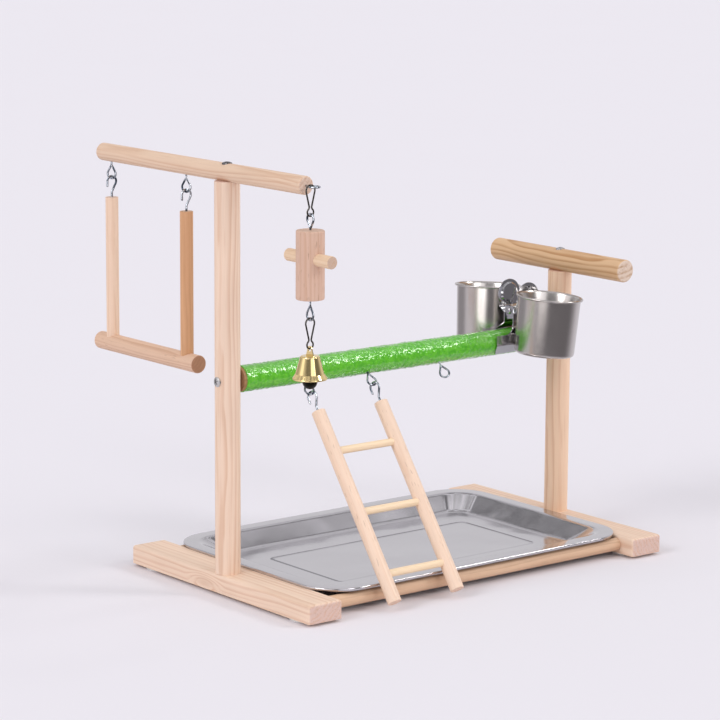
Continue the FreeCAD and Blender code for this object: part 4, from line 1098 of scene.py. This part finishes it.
@dataclass
class Studio:
    """The floor, the lights and the camera."""

    title: str = "studio"
    backdrop: Colour = (0.845, 0.825, 0.875)
    dim_room: Colour = (0.20, 0.19, 0.20)
    room_tint: tuple[float, ...] = (0.985, 0.97, 1.0, 1.0)
    gleam_tint: tuple[float, ...] = (1.0, 0.97, 0.94, 1.0)
    ambient: float = 0.62
    gleam_level: float = 3.0
    floor_size: float = 30.0
    dim_from: Point = (0.25, 0.55)
    gleam_from: Point = (1.8, 3.0)
    low_band: Point = (0.10, 0.25)
    cloud_scale: float = 13.0
    dark_side: Patch = Patch((-0.152, -0.988, 0.0), (-0.10, 0.62))
    rear_dark: Patch = Patch((-0.280, 0.960, 0.0), (0.80, 0.97))
    far_gleam: Patch = Patch((-0.881, -0.473, 0.0), (0.93, 0.99))
    right_box: Patch = Patch((-0.138, -0.896, 0.423), (0.925, 0.965))
    left_box: Patch = Patch((-0.85, 0.36, 0.375), (0.945, 0.975))
    lamps: tuple[Lamp, ...] = (
        Lamp("key", (0.615, -0.543, 0.570), 13.0, 0.6, (1.0, 0.985, 0.97)),
        Lamp("window", (-0.92, -0.02, 0.60), 24.0, 0.9, (0.99, 0.99, 1.0)),
        Lamp("side", (0.10, -0.87, 0.46), 18.0, 0.4),
        Lamp("glint", (0.615, -0.05, 0.787), 9.0, 0.10),
        Lamp("top", (0.0, 0.25, 0.97), 50.0, 0.12),
    )
    camera_place: tuple[float, float, float] = (-1.87353, -2.29458, 0.7653)
    azimuth: float = -38.768
    pitch: float = 10.703
    roll: float = 0.354
    lens: float = 147.48

    def floor(self) -> None:
        """Lay the pale floor; polished metal sees it dimmer on the dark sides of the room."""
        shape = bmesh.new()
        bmesh.ops.create_grid(shape, x_segments=1, y_segments=1, size=self.floor_size)
        g = ShaderGraph("studio floor")
        place = g.add("ShaderNodeTexCoord").outputs["Object"]
        tone = g.noise(place, 3.0, seed=1.0).outputs["Fac"]
        away = g.vector("NORMALIZE", place).outputs[0]
        distance = g.vector("LENGTH", place).outputs["Value"]
        glossy = g.add("ShaderNodeLightPath").outputs["Is Glossy Ray"]
        gleam = g.math("MULTIPLY", self.far_gleam.share(g, away), g.step(distance, *self.gleam_from))
        dim = g.math("MULTIPLY_ADD", self.rear_dark.share(g, away), 0.7, self.dark_side.share(g, away))
        dim = g.math("MULTIPLY", dim, g.math("SUBTRACT", 1.0, gleam))
        dim = g.math("MULTIPLY", dim, g.step(distance, *self.dim_from))
        colour = g.shade(self.backdrop, g.swing(tone, 0.004))
        colour = g.mix(g.math("MULTIPLY", dim, glossy), colour, self.dim_room)
        glow = g.math("MULTIPLY", g.math("MULTIPLY", gleam, self.gleam_level), glossy)
        material = g.finish(colour, 0.9, Specular_IOR_Level=0.0, Emission_Color=self.gleam_tint,
                            Emission_Strength=glow)
        Forge.to_object("studio_floor", shape, material, False)

    def world(self) -> None:
        """Light the scene evenly; metal sees a room with a cloudy ceiling, dark sides and two soft boxes."""
        world = bpy.data.worlds.new("pale room")
        bpy.context.scene.world = world
        world.use_nodes = True
        g = Graph(world.node_tree)
        world.node_tree.nodes.clear()
        seen = g.add("ShaderNodeTexCoord").outputs["Generated"]
        height = g.add("ShaderNodeSeparateXYZ", {0: seen}).outputs["Z"]
        clouds = g.add("ShaderNodeTexNoise", {"Vector": g.stretch(seen, (1.0, 1.0, 2.2)),
                                              "Scale": self.cloud_scale, "Detail": 2.0}).outputs["Fac"]
        ceiling = g.step(clouds, 0.41, 0.60, 0.16, 1.0)
        behind = g.step(height, 0.30, 0.66, 0.78, ceiling)
        front = g.step(height, 0.25, 0.70, 0.20, ceiling)
        room = self.dark_side.share(g, seen, behind, front)
        room = self.rear_dark.share(g, seen, room, g.step(height, *self.low_band, 0.45, room))
        room = self.far_gleam.share(g, seen, room, g.step(height, *self.low_band, self.gleam_level, room))
        room = self.right_box.share(g, seen, room, 1.5)
        room = self.left_box.share(g, seen, room, 1.3)
        room = g.step(height, 0.86, 0.97, room, 0.8)
        glossy = g.add("ShaderNodeLightPath").outputs["Is Glossy Ray"]
        level = g.add("ShaderNodeMix", {0: glossy, 2: self.ambient, 3: room}, data_type="FLOAT").outputs[0]
        shell = g.add("ShaderNodeBackground", {"Color": self.room_tint, "Strength": level})
        g.add("ShaderNodeOutputWorld", {"Surface": shell.outputs[0]})

    def camera(self) -> None:
        """Stand the camera where the photograph was taken from."""
        az, el, roll = (math.radians(a) for a in (self.azimuth, self.pitch, self.roll))
        back = Vector((math.sin(az) * math.cos(el), -math.cos(az) * math.cos(el), math.sin(el)))
        right = (-back).cross(UP).normalized()
        up = right.cross(-back)
        turned_right = right * math.cos(roll) + up * math.sin(roll)
        turned_up = up * math.cos(roll) - right * math.sin(roll)
        data = bpy.data.cameras.new("photograph")
        data.sensor_width = 36.0
        data.lens = self.lens
        data.clip_end = 100.0
        holder = bpy.data.objects.new("photograph", data)
        basis = Matrix((turned_right, turned_up, back)).transposed()
        holder.matrix_world = Matrix.Translation(self.camera_place) @ basis.to_4x4()
        bpy.context.scene.collection.objects.link(holder)
        bpy.context.scene.camera = holder

    def build(self) -> None:
        """Set up the studio."""
        self.floor()
        self.world()
        for lamp in self.lamps:
            lamp.hang()
        self.camera()
        bpy.context.scene.view_settings.view_transform = "Standard"


def main() -> None:
    """Build the stand's looks, piece by piece."""
    logging.basicConfig(level=logging.INFO, format="%(name)s: %(message)s")
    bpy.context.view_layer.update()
    for part in (WOODEN_FRAME, CoatedBar(), SWING, LADDER, DripTray(), BELL_TOY, FeederCups(), CLAMP_METAL,
                 Studio()):
        LOG.info("building the %s", part.title)
        part.build()


if __name__ == "__main__":
    main()
